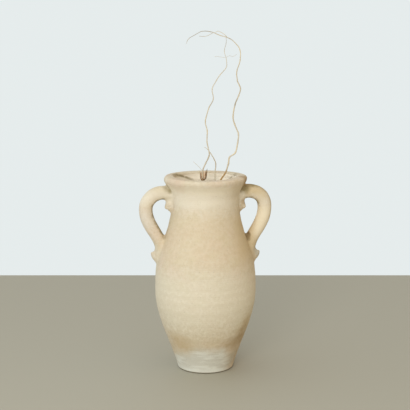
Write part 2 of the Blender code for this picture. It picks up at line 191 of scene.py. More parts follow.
# Each stem: where it enters the mix, its diameter there, and its route above the mix.
# A route's points are (x, y, z) from the entry, and each twig's route starts on the stem.
STEMS = {
    "left_stem": {
        "entry": (-0.010, -0.010),
        "diameter": 0.0055,
        "route": [
            (0.000, 0.000, 0.075), (-0.001, 0.000, 0.104), (0.010, 0.001, 0.130),
            (0.021, 0.003, 0.152), (0.023, 0.004, 0.169), (0.016, 0.010, 0.204),
            (0.017, 0.016, 0.243), (0.011, 0.020, 0.278), (0.023, 0.016, 0.324),
            (0.039, 0.020, 0.355), (0.035, 0.026, 0.390), (0.051, 0.028, 0.421),
            (0.065, 0.026, 0.441), (0.086, 0.030, 0.467), (0.086, 0.036, 0.495),
            (0.079, 0.038, 0.522), (0.086, 0.040, 0.550), (0.086, 0.044, 0.576),
        ],
        "twigs": [
            [(-0.001, 0.000, 0.102), (-0.009, -0.010, 0.112), (-0.022, -0.016, 0.126),
             (-0.035, -0.020, 0.138)],
            [(0.085, 0.037, 0.500), (0.068, 0.040, 0.501), (0.055, 0.038, 0.504),
             (0.046, 0.040, 0.503)],
            [(0.085, 0.037, 0.500), (0.098, 0.040, 0.506), (0.110, 0.038, 0.503),
             (0.123, 0.040, 0.511)],
        ],
    },
    "middle_stem": {
        "entry": (0.038, 0.032),
        "diameter": 0.005,
        "route": [
            (0.000, 0.000, 0.090), (0.002, 0.002, 0.121), (-0.002, 0.002, 0.136),
            (-0.015, 0.000, 0.158), (-0.026, 0.002, 0.174), (-0.039, 0.004, 0.183),
        ],
        "twigs": [],
    },
    "right_stem": {
        "entry": (0.030, -0.034),
        "diameter": 0.0065,
        "route": [
            (0.004, 0.000, 0.030), (0.022, -0.002, 0.073), (0.038, -0.004, 0.100),
            (0.047, -0.008, 0.130), (0.051, -0.010, 0.154), (0.072, -0.008, 0.170),
            (0.080, -0.004, 0.204), (0.083, 0.000, 0.235), (0.070, 0.002, 0.270),
            (0.064, 0.000, 0.298), (0.071, -0.002, 0.338), (0.084, 0.002, 0.370),
            (0.090, 0.004, 0.394), (0.078, 0.000, 0.423), (0.077, -0.004, 0.455),
            (0.088, 0.000, 0.492), (0.088, 0.004, 0.525), (0.076, 0.006, 0.546),
            (0.052, 0.008, 0.566), (0.019, 0.010, 0.577), (-0.015, 0.006, 0.589),
            (-0.045, 0.002, 0.590), (-0.072, 0.000, 0.577), (-0.092, -0.002, 0.564),
            (-0.099, -0.004, 0.549),
        ],
        "twigs": [
            [(0.046, 0.008, 0.568), (0.034, 0.013, 0.580), (0.021, 0.017, 0.588),
             (0.011, 0.018, 0.591), (0.003, 0.019, 0.587)],
            [(-0.006, 0.007, 0.586), (-0.021, 0.013, 0.577), (-0.036, 0.016, 0.573),
             (-0.052, 0.014, 0.574)],
        ],
    },
}

# Fineness of the surfaces
AROUND = 288
WALL_STEP = 0.0016
INNER_STEP = 0.004
MIX_STEP = 0.012
ROUND_STEPS = 12
FLAT_RINGS, CRUMB_RINGS = 8, 84
PATH_POINTS = 130
HANDLE_STEP = 0.00125
HANDLE_PASSES, LEAST_SLOPE = 2, 0.1
STEM_STEPS = 14
STEM_SIDES = 18
STEM_DOME = np.radians((35, 65, 82))
BURIED_POINTS = 12
HOLE_SIDES = 28
LEAF_POINTS = 26
SHARD_SIDES, SHARD_ROWS = 25, 30
GLOBE_ROWS, GLOBE_SIDES, GLOBE_REACH = 6, 8, 0.43 * TURN
GLOBE_APART, GLOBE_LUMP = 7.3, 0.8
NOISE_BLOCK = 32
SHARP_ANGLE = math.radians(50)
MERGE = 1e-6

# Camera of the photograph, found from the jar's outline
PHOTO_WIDTH = 410
FOCAL_PIXELS = 1017
AXIS_PIXEL = 205.4
CAMERA_DISTANCE = 3.59
CAMERA_HEIGHT = 1.185
CAMERA_PITCH = math.radians(9.33)
CAMERA_AZIMUTH = math.radians(-5.0)

# Floor, surroundings and light
FLOOR_REACH = 1.43
FLOOR_COLOR = (0.442, 0.418, 0.335, 1.0)
COOL_SIDE, WARM_SIDE = (0.80, 0.84, 0.86), (0.55, 0.445, 0.305)
BACKDROP = (0.79, 0.84, 0.84)
LIGHT_PLACE, LIGHT_TARGET = (-1.3, -3.9, 1.9), (0, 0, 0.4)
LIGHT_SIZE, LIGHT_POWER, LIGHT_COLOR = 2.0, 72.0, (1.0, 0.985, 0.96)


def cubic(t, start, end, leave, arrive):
    """Cubic from start to end as t goes from 0 to 1, which leaves and arrives at these slopes."""
    ends = start * (1 + 2 * t) * (1 - t) ** 2 + end * t * t * (3 - 2 * t)
    return ends + leave * t * (1 - t) ** 2 + arrive * t * t * (t - 1)


def hermite(stations, z):
    """Radius at height z: between two stations of (height, radius, slope), the cubic that meets both."""
    heights, radii, slopes = np.transpose(stations)
    low = np.clip(np.searchsorted(heights, z) - 1, 0, len(heights) - 2)
    rise = heights[low + 1] - heights[low]
    t = np.clip((z - heights[low]) / rise, 0.0, 1.0)
    return cubic(t, radii[low], radii[low + 1], rise * slopes[low], rise * slopes[low + 1])


def outer_radius(z):
    return hermite(JAR_STATIONS, z)


def inner_radius(z):
    """The wall keeps its thickness up to the lip, where the bore opens to the mouth."""
    bore = hermite([(BORE_Z, NECK_RADIUS - WALL, 0.0), (MOUTH_Z, MOUTH_RADIUS, 0.0)], z)
    return np.where(z < LIP_FOOT_Z, outer_radius(z) - WALL, bore)


def grid_points(x, y, z):
    """Points from their coordinates, each spread over the axes of the others."""
    return np.stack(np.broadcast_arrays(x, y, z), -1)


def unit(vectors):
    return vectors / np.linalg.norm(vectors, axis=-1, keepdims=True)


def round_turn(count):
    """Angles of this many even steps round a circle."""
    return np.linspace(0.0, TURN, count, endpoint=False)


def soft_noise(points, size, seed):
    """Smooth random values from -1 to 1: a seeded block of random numbers, one at each whole step
    of the given size, eased from one to the next along the three axes."""
    block = np.random.default_rng(seed).uniform(-1.0, 1.0, (NOISE_BLOCK,) * 3)
    place = np.asarray(points) / size
    whole = np.floor(place).astype(int)
    t = place - whole
    t = t * t * (3 - 2 * t)
    total = 0.0
    for corner in np.ndindex(2, 2, 2):
        share = np.prod(np.where(corner, t, 1 - t), axis=-1)
        step = np.moveaxis((whole + corner) % NOISE_BLOCK, -1, 0)
        total = total + share * block[tuple(step)]
    return total


def clay_relief(angle, z):
    """How far the thrown wall stands proud, in metres: a fine spiral whose pitch drifts, a wider
    spiral, and slow lumps. A spiral is a sine of height over pitch, less the angle."""
    drift = np.sin(TURN * z / PITCH_DRIFT)
    fine = FINE_DEPTH * np.sin(TURN * z / FINE_PITCH + 2 * drift - angle)
    wide = WIDE_DEPTH * np.sin(TURN * z / WIDE_PITCH + drift - angle)
    round_jar = grid_points(BELLY_RADIUS * np.cos(angle), BELLY_RADIUS * np.sin(angle), z)
    return fine + wide + LUMP_DEPTH * soft_noise(round_jar, LUMP_SIZE, seed=3)


def up_wall(radius_at, low, high, step):
    """Rows of (radius, height) up one side of the wall, at about this step."""
    z = np.linspace(low, high, max(2, math.ceil(abs(high - low) / step) + 1))
    return np.stack([radius_at(z), z], -1)


def level_rows(start, end, count, z):
    """Rows of (radius, height) on a level, evenly from start to end."""
    return np.stack([np.linspace(start, end, count), np.full(count, z)], -1)


def arc(centre, radius, start, end):
    """Rows of (radius, height) on an arc, angles in degrees."""
    turn = np.radians(np.linspace(start, end, ROUND_STEPS + 1))
    return np.stack([centre[0] + radius * np.cos(turn), centre[1] + radius * np.sin(turn)], -1)


def grid_faces(rows, columns, wrap_rows=False):
    """Quads between neighbours on a grid of points that wraps round its columns."""
    i, j = np.meshgrid(np.arange(rows - (not wrap_rows)), np.arange(columns), indexing="ij")
    above, beside = (i + 1) % rows, (j + 1) % columns
    corners = [i * columns + j, i * columns + beside, above * columns + beside, above * columns + j]
    return np.stack(corners, -1).reshape(-1, 4)


def tube_faces(rows, columns):
    """Quads of a closed tube: its side and one many-sided face over each end."""
    side = grid_faces(rows, columns).tolist()
    first, last = np.arange(columns)[::-1], np.arange(columns) + (rows - 1) * columns
    return side + [first.tolist(), last.tolist()]


def placed(name, data):
    """Object at the origin with this data, linked to the scene."""
    made = bpy.data.objects.new(name, data)
    bpy.context.scene.collection.objects.link(made)
    return made


def finished(name, points, faces, finish, slot, body, stands_for, **marks):
    """Piece at the origin with smooth shading, marks stored on its points, a material and a body."""
    mesh = bpy.data.meshes.new(name)
    faces = faces if isinstance(faces, list) else faces.tolist()
    mesh.from_pydata(np.asarray(points).reshape(-1, 3).tolist(), [], faces)
    for mark, values in marks.items():
        values = np.asarray(values, np.float32)
        kind, field = ("FLOAT", "value") if values.ndim == 1 else ("FLOAT_VECTOR", "vector")
        mesh.attributes.new(mark, kind, "POINT").data.foreach_set(field, values.ravel())
    mesh.materials.append(finish)
    made = placed(name, mesh)
    smooth(mesh)
    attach(made, body)
    if stands_for:
        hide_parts(stands_for)
    return made


def smooth(mesh):
    mesh.shade_smooth()
    mesh.set_sharp_from_angle(angle=SHARP_ANGLE)


def turned(outline, relief):
    """Points of an outline of (radius, height) rows carried round Z. Each row takes its own share
    of the wall's relief. The lip's widest ring leans over a little to the left, and the rim dips
    at the front as the square of the sine."""
    angle = round_turn(AROUND)
    radius, z = outline[:, :1], outline[:, 1:]
    radius = radius + relief[:, None] * clay_relief(angle, z)
    below = np.clip((z - UNDER_LIP_Z) / (LIP_Z - UNDER_LIP_Z), 0.0, 1.0)
    above = np.clip((RIM_Z - z) / LIP_ROUND, 0.0, 1.0) ** LIP_LEAN_EASE
    z = z + LIP_LEAN * below * above * np.cos(angle)
    z = z - RIM_DIP * below * (1 - above) * np.minimum(np.sin(angle), 0.0) ** 2
    return grid_points(radius * np.cos(angle), radius * np.sin(angle), z)


def jar_section(name, parts, finish):
    """Section of the jar from parts of its closed outline: (rows, share of relief, inside or not).
    The inside has grooves, a sine of height over their pitch, less the angle."""
    outline = np.vstack([rows for rows, _, _ in parts])
    relief = np.hstack([np.broadcast_to(share, len(rows)) for rows, share, _ in parts])
    inside = np.hstack([np.broadcast_to(float(within), len(rows)) for rows, _, within in parts])
    points = turned(outline, relief)
    x, y, z = np.moveaxis(points, -1, 0)
    grooves = INNER_DEPTH * np.sin(TURN * z / INNER_PITCH - np.arctan2(y, x))
    points[..., :2] *= 1 - (inside[:, None] * grooves / np.hypot(x, y))[..., None]
    faces = grid_faces(len(outline), AROUND, wrap_rows=True)
    marks = np.repeat(inside, AROUND)
    return finished(f"{name}_clay", points, faces, finish, "fired_clay", "pot", name, inside=marks)


def seam_radius(z):
    return float(outer_radius(z)) - WALL / 2


def tongue(z):
    """Top of a lower section: its inner half stands up inside the next one."""
    return np.array([(seam_radius(z), z), (seam_radius(z), z + SEAM_LAP)])


def skirt(z):
    """Bottom of an upper section, from inside to outside, over the tongue below."""
    lap = seam_radius(z) + SLIP
    return np.array([(lap, z + SEAM_LAP + SLIP), (lap, z)])


def base_section(finish):
    """Foot, wall to the belly, lap, inner wall, floor and drain hole."""
    foot = level_rows(DRAIN_RADIUS, FOOT_RADIUS - FOOT_ROUND, FLAT_RINGS, 0.0)[:-1]
    edge = arc((FOOT_RADIUS - FOOT_ROUND, FOOT_ROUND), FOOT_ROUND, -90, 0)[:-1]
    wall = up_wall(outer_radius, FOOT_ROUND, BELLY_Z, WALL_STEP)
    ease = np.clip((wall[:, 1] - FOOT_ROUND) / FLOOR, 0.0, 1.0)
    inner = up_wall(inner_radius, BELLY_Z + SEAM_LAP, FLOOR + FLOOR_ROUND, INNER_STEP)
    corner = inner[-1, 0] - FLOOR_ROUND
    floor = arc((corner, FLOOR + FLOOR_ROUND), FLOOR_ROUND, 0, -90)[1:]
    hole = np.array([(DRAIN_RADIUS, FLOOR)])
    parts = [(foot, 0, 0), (edge, 0, 0), (wall, ease, 0), (tongue(BELLY_Z), 1, 0)]
    parts += [(inner, 1, 1), (floor, 0, 0), (hole, 0, 0)]
    return jar_section("base_section", parts, finish)


def shoulder_section(finish):
    """Wall from the belly to the bottom of the neck, with a lap at each end."""
    wall = up_wall(outer_radius, BELLY_Z, NECK_Z, WALL_STEP)
    inner = up_wall(inner_radius, NECK_Z + SEAM_LAP, BELLY_Z + SEAM_LAP + SLIP, INNER_STEP)
    parts = [(wall, 1, 0), (tongue(NECK_Z), 1, 0), (inner, 1, 1), (skirt(BELLY_Z), 1, 0)]
    return jar_section("shoulder_section", parts, finish)


def neck_rim(finish):
    """Neck, flared lip, round rim and bore."""
    wall = up_wall(outer_radius, NECK_Z, LIP_Z, WALL_STEP)
    lip = arc((LIP_RADIUS - LIP_ROUND, LIP_Z), LIP_ROUND, 0, 90)[1:]
    mouth = arc((MOUTH_RADIUS + MOUTH_ROUND, MOUTH_Z), MOUTH_ROUND, 90, 180)
    bore = up_wall(inner_radius, MOUTH_Z, NECK_Z + SEAM_LAP + SLIP, WALL_STEP)[1:]
    parts = [(wall, 1, 0), (lip, 1, 0), (mouth, 1, 0), (bore, 1, 1), (skirt(NECK_Z), 1, 0)]
    return jar_section("neck_rim", parts, finish)


def bezier(controls, count):
    """Points along a Bezier curve: its controls weighted by the binomial terms of t and 1 - t."""
    controls = np.array(controls)
    degree = len(controls) - 1
    t = np.linspace(0.0, 1.0, count)[:, None]
    weights = [math.comb(degree, k) * t**k * (1 - t) ** (degree - k) for k in range(degree + 1)]
    return sum(weight * control for weight, control in zip(weights, controls))


def coil_line(hand):
    """(x, z) points down a handle's coil, and its radius at each: a run that rises from the wall, a
    quarter of a superellipse, and a Bezier fall that lands along the wall."""
    top = COIL_Z[hand]
    bend = np.array((NECK_RADIUS + COIL_RUN, top - COIL_BEND))
    outermost = NECK_RADIUS + COIL_SPAN
    landing = SHOULDER_RADIUS - COIL_SINK
    turn = np.linspace(TURN / 4, 0.0, PATH_POINTS)[:, None]
    quarter = np.hstack([np.cos(turn), np.sin(turn)]).clip(0.0) ** (2 / ARCH_POWER[hand])
    arch = bend + np.array((outermost - bend[0], COIL_BEND)) * quarter
    controls = [(outermost, bend[1]), (outermost, bend[1] - COIL_EASE)]
    controls += [(landing, SHOULDER_Z + COIL_LANDING), (landing, SHOULDER_Z)]
    run = np.linspace((NECK_RADIUS - WALL, top), arch[0], PATH_POINTS // 4)
    run[:, 1] -= ROOT_DROP * np.linspace(1.0, 0.0, len(run)) ** 2
    end = np.linspace((landing, SHOULDER_Z), (landing, SPUR_ROOT[1]), PATH_POINTS // 4)
    path = np.vstack([run, arch[1:], bezier(controls, PATH_POINTS)[1:], end[1:]])
    share = np.concatenate([np.zeros(len(run)), np.linspace(0.0, 1.0, len(path) - len(run))])
    return path, (COIL_TOP[hand] + (COIL_LOW - COIL_TOP[hand]) * share**COIL_THINNING) / 2


def curl_line(root, tip, depth, tip_depth, belly):
    """(x, z) points from behind a curl's root to its tip, with its half depth and half width. The
    line bends up as the square of the way along, and the curl thins faster towards its tip."""
    share = np.linspace(-CURL_BEHIND, 1.0, PATH_POINTS)
    out = np.maximum(share, 0.0)
    x = root[0] + (tip[0] - root[0]) * share
    z = root[1] + (tip[1] - root[1]) * out**2
    half_depth = (depth + (tip_depth - depth) * out**belly) / 2
    half_width = (CURL_WIDTH + (CURL_TIP_WIDTH - CURL_WIDTH) * out) / 2
    return np.stack([x, z], -1), half_depth, half_width


def from_line(line, x, y, z):
    """Distance outside a round bar: from the nearest point of its line in the XZ plane, taken with
    y, less the bar's radius there. A bar of other width than depth has y stretched to match."""
    path, radius = line[0], line[1]
    away = np.hypot(x[..., None] - path[:, 0], z[..., None] - path[:, 1]) - radius
    nearest = away.argmin(-1)
    radius_here = radius[nearest]
    away = np.take_along_axis(away, nearest[..., None], -1)[..., 0] + radius_here
    stretch = radius_here / line[2][nearest] if len(line) > 2 else 1.0
    return np.hypot(away, y * stretch) - radius_here


def soft_union(a, b, round_over):
    """The lesser of two distances, with the corner between them filled over that distance."""
    near = np.maximum(round_over - np.abs(a - b), 0.0) / round_over
    return np.minimum(a, b) - near * near * round_over / 4


def level_surface(values, low, step):
    """Points and quads of the surface where sampled values change sign. Each cell that it crosses
    gets one point, the mean of the crossings on the cell's edges, and each crossed edge joins the
    points of the four cells round it."""
    cells = np.array(values.shape) - 1
    total, count, quads = np.zeros((cells.prod(), 3)), np.zeros((cells.prod(), 1)), []
    for axis in range(3):
        order = np.roll(np.arange(3), -axis)
        back = np.argsort(order)
        along = values.transpose(order)
        at = np.argwhere((along[1:] < 0) != (along[:-1] < 0))
        here, there = along[tuple(at.T)], along[tuple((at + (1, 0, 0)).T)]
        place = at.astype(float)
        place[:, 0] += here / (here - there)
        around = at[:, None] - np.array([(0, 1, 1), (0, 0, 1), (0, 0, 0), (0, 1, 0)])
        around = np.where((here < 0)[:, None, None], around, around[:, ::-1])
        cell = np.ravel_multi_index(np.moveaxis(around[..., back], -1, 0), cells)
        np.add.at(total, cell, place[:, None, back])
        np.add.at(count, cell, 1.0)
        quads.append(cell)
    used, quads = np.unique(np.vstack(quads), return_inverse=True)
    return np.array(low) + step * total[used] / count[used], quads.reshape(-1, 4)


def handle_field(hand, side):
    """Function of x, y and z that is below zero inside one handle: the coil and its two curls,
    filled at their corners and at the wall, and cut a little way into the wall."""
    coil = coil_line(hand)
    tail = curl_line(TAIL_ROOT, TAIL_TIP, TAIL_DEPTH, TAIL_TIP_DEPTH, TAIL_BELLY)
    spur = curl_line(SPUR_ROOT, SPUR_TIP, SPUR_DEPTH, SPUR_TIP_DEPTH, SPUR_BELLY)

    def field(x, y, z):
        bar = from_line(coil, x, y, z)
        bar = soft_union(bar, from_line(tail, x, y, z), TAIL_FILLET)
        bar = soft_union(bar, from_line(spur, x, y, z), SPUR_FILLET)
        lumps_here = soft_noise(grid_points(x * side, y, z), HANDLE_LUMP_SIZE, seed=11)
        bar = bar + HANDLE_LUMP_DEPTH * lumps_here
        wall = np.hypot(x, y) - outer_radius(z) - clay_relief(np.arctan2(y, x * side), z)
        whole = soft_union(bar, wall + ROOT_UNDER, WALL_FILLET)
        return np.maximum(np.maximum(whole, -wall - ROOT_SINK), bar - WALL_FILLET)

    return field


def gap_side(line, points):
    """How far each point lies towards the gap that a handle goes round, from -1 on the outer side of
    its coil to 1 on the inner side: the way from the coil's line, along the line's inner normal. It
    fades to 0 off the coil, on the curls."""
    path, radius = line
    along = unit(np.gradient(path, axis=0))
    away = np.hypot(points[:, :1] - path[:, 0], points[:, 2:] - path[:, 1]) - radius
    nearest = away.argmin(-1)
    x, z = (points[:, ::2] - path[nearest]).T
    inward = x * along[nearest, 1] - z * along[nearest, 0]
    away = np.sqrt(x * x + z * z + points[:, 1] ** 2)
    return inward / away * np.clip(1 - (away - radius[nearest]) / GAP_FADE, 0.0, 1.0)


def handle(hand, side, finish):
    """One handle: the level surface of its field, its points then moved down the field's slope
    onto the exact surface."""
    field = handle_field(hand, side)
    thick = COIL_TOP[hand]
    low = np.array((NECK_RADIUS - 2 * WALL, -thick, SPUR_ROOT[1] - SPUR_DEPTH))
    high = np.array((NECK_RADIUS + COIL_SPAN + thick, thick, COIL_Z[hand] + thick))
    x, y, z = [np.arange(a, b, HANDLE_STEP) for a, b in zip(low, high)]
    values = field(x[:, None, None], y[None, :, None], z[None, None, :])
    points, quads = level_surface(values, low, HANDLE_STEP)
    nudge = np.eye(3) * HANDLE_STEP / 4
    for _ in range(HANDLE_PASSES):
        slope = [field(*(points + n).T) - field(*(points - n).T) for n in nudge]
        slope = np.stack(slope, -1) / (HANDLE_STEP / 2)
        steepness = np.maximum((slope**2).sum(-1, keepdims=True), LEAST_SLOPE)
        step = field(*points.T)[:, None] * slope / steepness
        points = points - np.clip(step, -HANDLE_STEP / 2, HANDLE_STEP / 2)
    gap = gap_side(coil_line(hand), points)
    points[:, 0] *= side
    quads = quads if side > 0 else quads[:, ::-1]
    name = f"{hand}_handle"
    return finished(f"{name}_clay", points, quads, finish, "fired_clay", "pot", name, gap=gap)


def smooth_route(points):
    """Points along a curve that passes through each of these and turns evenly at them: between
    two, the cubic whose slopes are half the step from the point before to the point after."""
    points = np.array(points, float)
    before = np.vstack([2 * points[0] - points[1], points[:-1]])
    after = np.vstack([points[1:], 2 * points[-1] - points[-2]])
    slopes = (after - before)[:, None] / 2
    t = np.linspace(0.0, 1.0, STEM_STEPS, endpoint=False)[None, :, None]
    spans = cubic(t, points[:-1, None], points[1:, None], slopes[:-1], slopes[1:])
    return np.vstack([spans.reshape(-1, 3), points[-1:]])


def swept(path, size, turn):
    """Rings carried along a path, each square to it, with its own radius at each angle."""
    along = unit(np.gradient(path, axis=0))
    across = unit(np.array((0.0, 1.0, 0.0)) - along[:, 1:2] * along)
    other = np.cross(along, across)
    spokes = np.cos(turn)[:, None] * across[:, None] + np.sin(turn)[:, None] * other[:, None]
    return path[:, None] + size[..., None] * spokes


def thinning(start, end, count):
    """Radii that thin from a stem's thick end to its tip."""
    t = np.linspace(0.0, 1.0, count)
    return end + (start - end) * (1 - t) ** STEM_TAPER


def bark_tube(path, radii, knots, offset):
    """Stem or twig: rings along its path whose radius swells at its knots and is fluted and rough.
    Also gives each point's place on the bark: round the stem and along it."""
    length = np.concatenate([[0.0], np.linalg.norm(np.diff(path, axis=0), axis=1).cumsum()])[:, None]
    knotted = np.exp(-(((length - length[knots, 0]) / (KNOT_LENGTH * radii[knots])) ** 2))
    swell = 1 + KNOT_SWELL * knotted.max(1, initial=0.0)
    turn = round_turn(STEM_SIDES)
    flutes = 1 + sum(depth * np.cos(n * turn + twist * length) for n, twist, depth in FLUTES)
    points = swept(path, (radii * swell)[:, None] * flutes, turn)
    rough = 1 + BARK_ROUGH * soft_noise(points + offset, BARK_ROUGH_SIZE, seed=21)
    points = path[:, None] + (points - path[:, None]) * rough[..., None]
    return points, grid_points(np.cos(turn), np.sin(turn), length)


def joined(shapes):
    """One set of points, faces and marks from several closed tubes."""
    points = np.vstack([shape.reshape(-1, 3) for shape, _ in shapes])
    marks = np.vstack([mark.reshape(-1, 3) for _, mark in shapes])
    faces, first = [], 0
    for shape, _ in shapes:
        faces += [[corner + first for corner in face] for face in tube_faces(*shape.shape[:2])]
        first += shape.shape[0] * shape.shape[1]
    return points, faces, marks


def round_tip(path, radii):
    """The path and radii with a short dome added at the tip."""
    along = unit(path[-1] - path[-2])
    dome = path[-1] + radii[-1] * np.sin(STEM_DOME)[:, None] * along
    return np.vstack([path, dome]), np.hstack([radii, radii[-1] * np.cos(STEM_DOME)])


def dry_stem(name, finish):
    """Stem with its side twigs, planted in the mix. Its route wanders a little, by soft noise."""
    stem = STEMS[name]
    base = np.array((*stem["entry"], SOIL_Z))
    above = smooth_route([(0.0, 0.0, SOIL_CROWN)] + stem["route"])
    wander = [soft_noise(above, WANDER_SIZE, seed) for seed in (5, 6, 7)]
    above = above + STEM_WANDER * np.stack(wander, -1)
    radius = stem["diameter"] / 2
    slim = thinning(radius, TWIG_TIP, len(above))
    buried = np.linspace((0.0, 0.0, -STEM_DEPTH), above[0], BURIED_POINTS)[:-1]
    path = np.vstack([buried, above])
    radii = np.hstack([np.full(len(buried), radius), slim])
    knots = len(buried) + STEM_STEPS * np.arange(1, len(stem["route"]))
    path, radii = round_tip(path, radii)
    radii = radii * (STEM_SLIM + (TIP_SLIM - STEM_SLIM) * np.linspace(0.0, 1.0, len(radii)) ** 2)
    shapes = [bark_tube(base + path, radii, knots, offset=0.0)]
    for route in stem["twigs"]:
        line = smooth_route(route)
        nearest = np.linalg.norm(above - line[0], axis=1).argmin()
        start = min(TWIG_ROOT * slim[nearest], TWIG_MOST)
        line, thin = round_tip(line, thinning(start, min(start, TWIG_TIP), len(line)))
        twig_knots = STEM_STEPS * np.arange(1, len(route) - 1)
        shapes.append(bark_tube(base + line, thin * TWIG_SLIM[name], twig_knots, TWIG_OFFSET))
    points, faces, marks = joined(shapes)
    return finished(f"{name}_wood", points, faces, finish, "dry_bark", name, name, bark=marks)


def leaf_strip(angle, height, lean, curl, width, brown):
    """One strip of the dry leaf: a thin flat ring carried up a line that bends out from the stem,
    leans and droops, widest in its middle and cupped across. Also gives each point's place on the
    strip: how near its edge, how brown, and how far along."""
    t = np.linspace(0.0, 1.0, LEAF_POINTS)[:, None]
    turn = round_turn(STEM_SIDES)
    out = LEAF_START + lean * t**LEAF_LEAN
    out = out + curl * (np.maximum(t - LEAF_CURL_FROM, 0.0) / (1 - LEAF_CURL_FROM)) ** 2
    out = out + (LEAF_FOOT - out) * np.maximum(1 - t / LEAF_BEND, 0.0) ** 2
    rise = height * (t - LEAF_DROOP * np.maximum(t - LEAF_DROOP_FROM, 0.0) ** 2)
    swell = np.sin(math.pi * np.linspace(*LEAF_SWELL, LEAF_POINTS))[:, None]
    half = width * (LEAF_NARROW + (1 - LEAF_NARROW) * swell) * (1 - t**LEAF_TAPER) + LEAF_THICKNESS
    flat = half * np.cos(turn)
    out = out + LEAF_THICKNESS * np.sin(turn) - LEAF_CUP * flat**2
    flat = flat + LEAF_SWAY * np.sin(LEAF_WAVES * t + angle)
    c, s = math.cos(math.radians(angle)), math.sin(math.radians(angle))
    points = grid_points(out * c - flat * s, out * s + flat * c, rise)
    return points, grid_points(np.abs(np.cos(turn)), brown, t)


def dry_leaf(finish):
    """Curled strips of a dry leaf at the foot of the left stem."""
    foot = np.array((*STEMS["left_stem"]["entry"], LEAF_Z))
    points, faces, marks = joined([leaf_strip(*strip) for strip in LEAF_STRIPS])
    points = foot + points
    return finished(
        "dry_leaf_curls", points, faces, finish, "dry_leaf", "left_stem", "leaf_sheath", leaf=marks
    )


def lumps(centres, sizes, seed, rough):
    """Closed lumps: a globe of points, uneven by soft noise, stretched to each size, turned by a
    random unit quaternion and set at its centre, all as one array."""
    count = len(centres)
    up = np.linspace(-0.5, 0.5, GLOBE_ROWS)[:, None] * GLOBE_REACH
    turn = round_turn(GLOBE_SIDES)
    globe = grid_points(np.cos(up) * np.cos(turn), np.cos(up) * np.sin(turn), np.sin(up)).reshape(-1, 3)
    apart = GLOBE_APART * np.arange(count)[:, None, None]
    uneven = 1 + rough * soft_noise(globe + apart, GLOBE_LUMP, seed)
    shapes = globe * uneven[..., None] * sizes[:, None]
    quaternion = unit(np.random.default_rng(seed).normal(size=(count, 4)))[:, None]
    twist = 2 * np.cross(quaternion[..., 1:], shapes)
    points = shapes + quaternion[..., :1] * twist + np.cross(quaternion[..., 1:], twist)
    points = points + centres[:, None]
    one = tube_faces(GLOBE_ROWS, GLOBE_SIDES)
    faces = [[corner + n * len(globe) for corner in face] for n in range(count) for face in one]
    return points.reshape(-1, 3), faces


def drain_shard(finish):
    """Arched shard over the drain hole: a ring sector carried along Y, with broken ends."""
    inner = SHARD_REACH / math.sin(SHARD_ARCH)
    floor = FLOOR + SLIP
    turn = np.linspace(TURN / 4 - SHARD_ARCH, TURN / 4 + SHARD_ARCH, SHARD_SIDES)
    turn = np.hstack([turn, turn[::-1]])
    radius = np.repeat((inner + SHARD_THICKNESS, inner), SHARD_SIDES)
    x, z = radius * np.cos(turn), radius * np.sin(turn) - inner * math.cos(SHARD_ARCH) + floor
    y = np.linspace(0.5, -0.5, SHARD_ROWS)[:, None] * SHARD_LENGTH
    broken = 1 - SHARD_BREAK * (1 + soft_noise(grid_points(x, z, 0.0), SHARD_BREAK_SIZE, seed=31))
    points = grid_points(x, y * broken, z)
    uneven = SHARD_ROUGH * (soft_noise(points, SHARD_ROUGH_SIZE, seed=32) - 1)
    points[..., 2] = np.maximum(points[..., 2] + uneven, floor)
    faces = tube_faces(*points.shape[:2])
    return finished("drain_shard_tile", points, faces, finish, "shard_clay", "pot", "drain_shard")


def gravel_bed(finish):
    """Loose stones on a shaken lattice, between the floor and the mix and clear of the shard."""
    random = np.random.default_rng(41)
    reach = float(inner_radius(GRAVEL_Z))
    x = np.arange(-reach, reach, GRAVEL_STONE)
    first, last = FLOOR + STONE_FIRST * GRAVEL_STONE, GRAVEL_Z - STONE_LAST * GRAVEL_STONE
    z = np.arange(first, last, STONE_LAYER * GRAVEL_STONE)
    places = np.stack(np.meshgrid(x, x, z, indexing="ij"), -1)
    places[:, :, ::2, :2] += GRAVEL_STONE / 2
    places = places.reshape(-1, 3)
    places = places + random.uniform(-STONE_SHAKE, STONE_SHAKE, places.shape) * GRAVEL_STONE
    sizes = random.uniform(STONE_LEAST, STONE_MOST, places.shape) * GRAVEL_STONE
    most = sizes.max(1)
    room = inner_radius(places[:, 2] - most) - FILL_GAP - most
    arch = SHARD_REACH / math.sin(SHARD_ARCH)
    arch_z = places[:, 2] - FLOOR + arch * math.cos(SHARD_ARCH)
    over = np.hypot(places[:, 0], arch_z) > arch + SHARD_THICKNESS + most
    clear = over | (np.abs(places[:, 1]) > SHARD_LENGTH / 2 + most)
    fits = (places[:, 2] - most > FLOOR) & (places[:, 2] + most < GRAVEL_Z)
    keep = clear & fits & (np.hypot(places[:, 0], places[:, 1]) < room)
    points, faces = lumps(places[keep], sizes[keep], seed=42, rough=STONE_UNEVEN)
    return finished("gravel_stones", points, faces, finish, "gravel", "pot", "gravel_bed")


def soil_height(x, y):
    """Height of the mix: a low crown with crumbs of three sizes, the middle ones all upwards."""
    rim = float(inner_radius(SOIL_Z)) - FILL_GAP
    place = grid_points(x, y, 0.0)
    crumbs = [soft_noise(place, size, seed) for size, seed in zip(CRUMB_SIZES, (51, 52, 53))]
    crumbs[1] = np.abs(crumbs[1])
    crumb = sum(height * values for height, values in zip(CRUMB_HEIGHTS, crumbs))
    return SOIL_Z + SOIL_CROWN * (1 - (x * x + y * y) / rim**2) + crumb


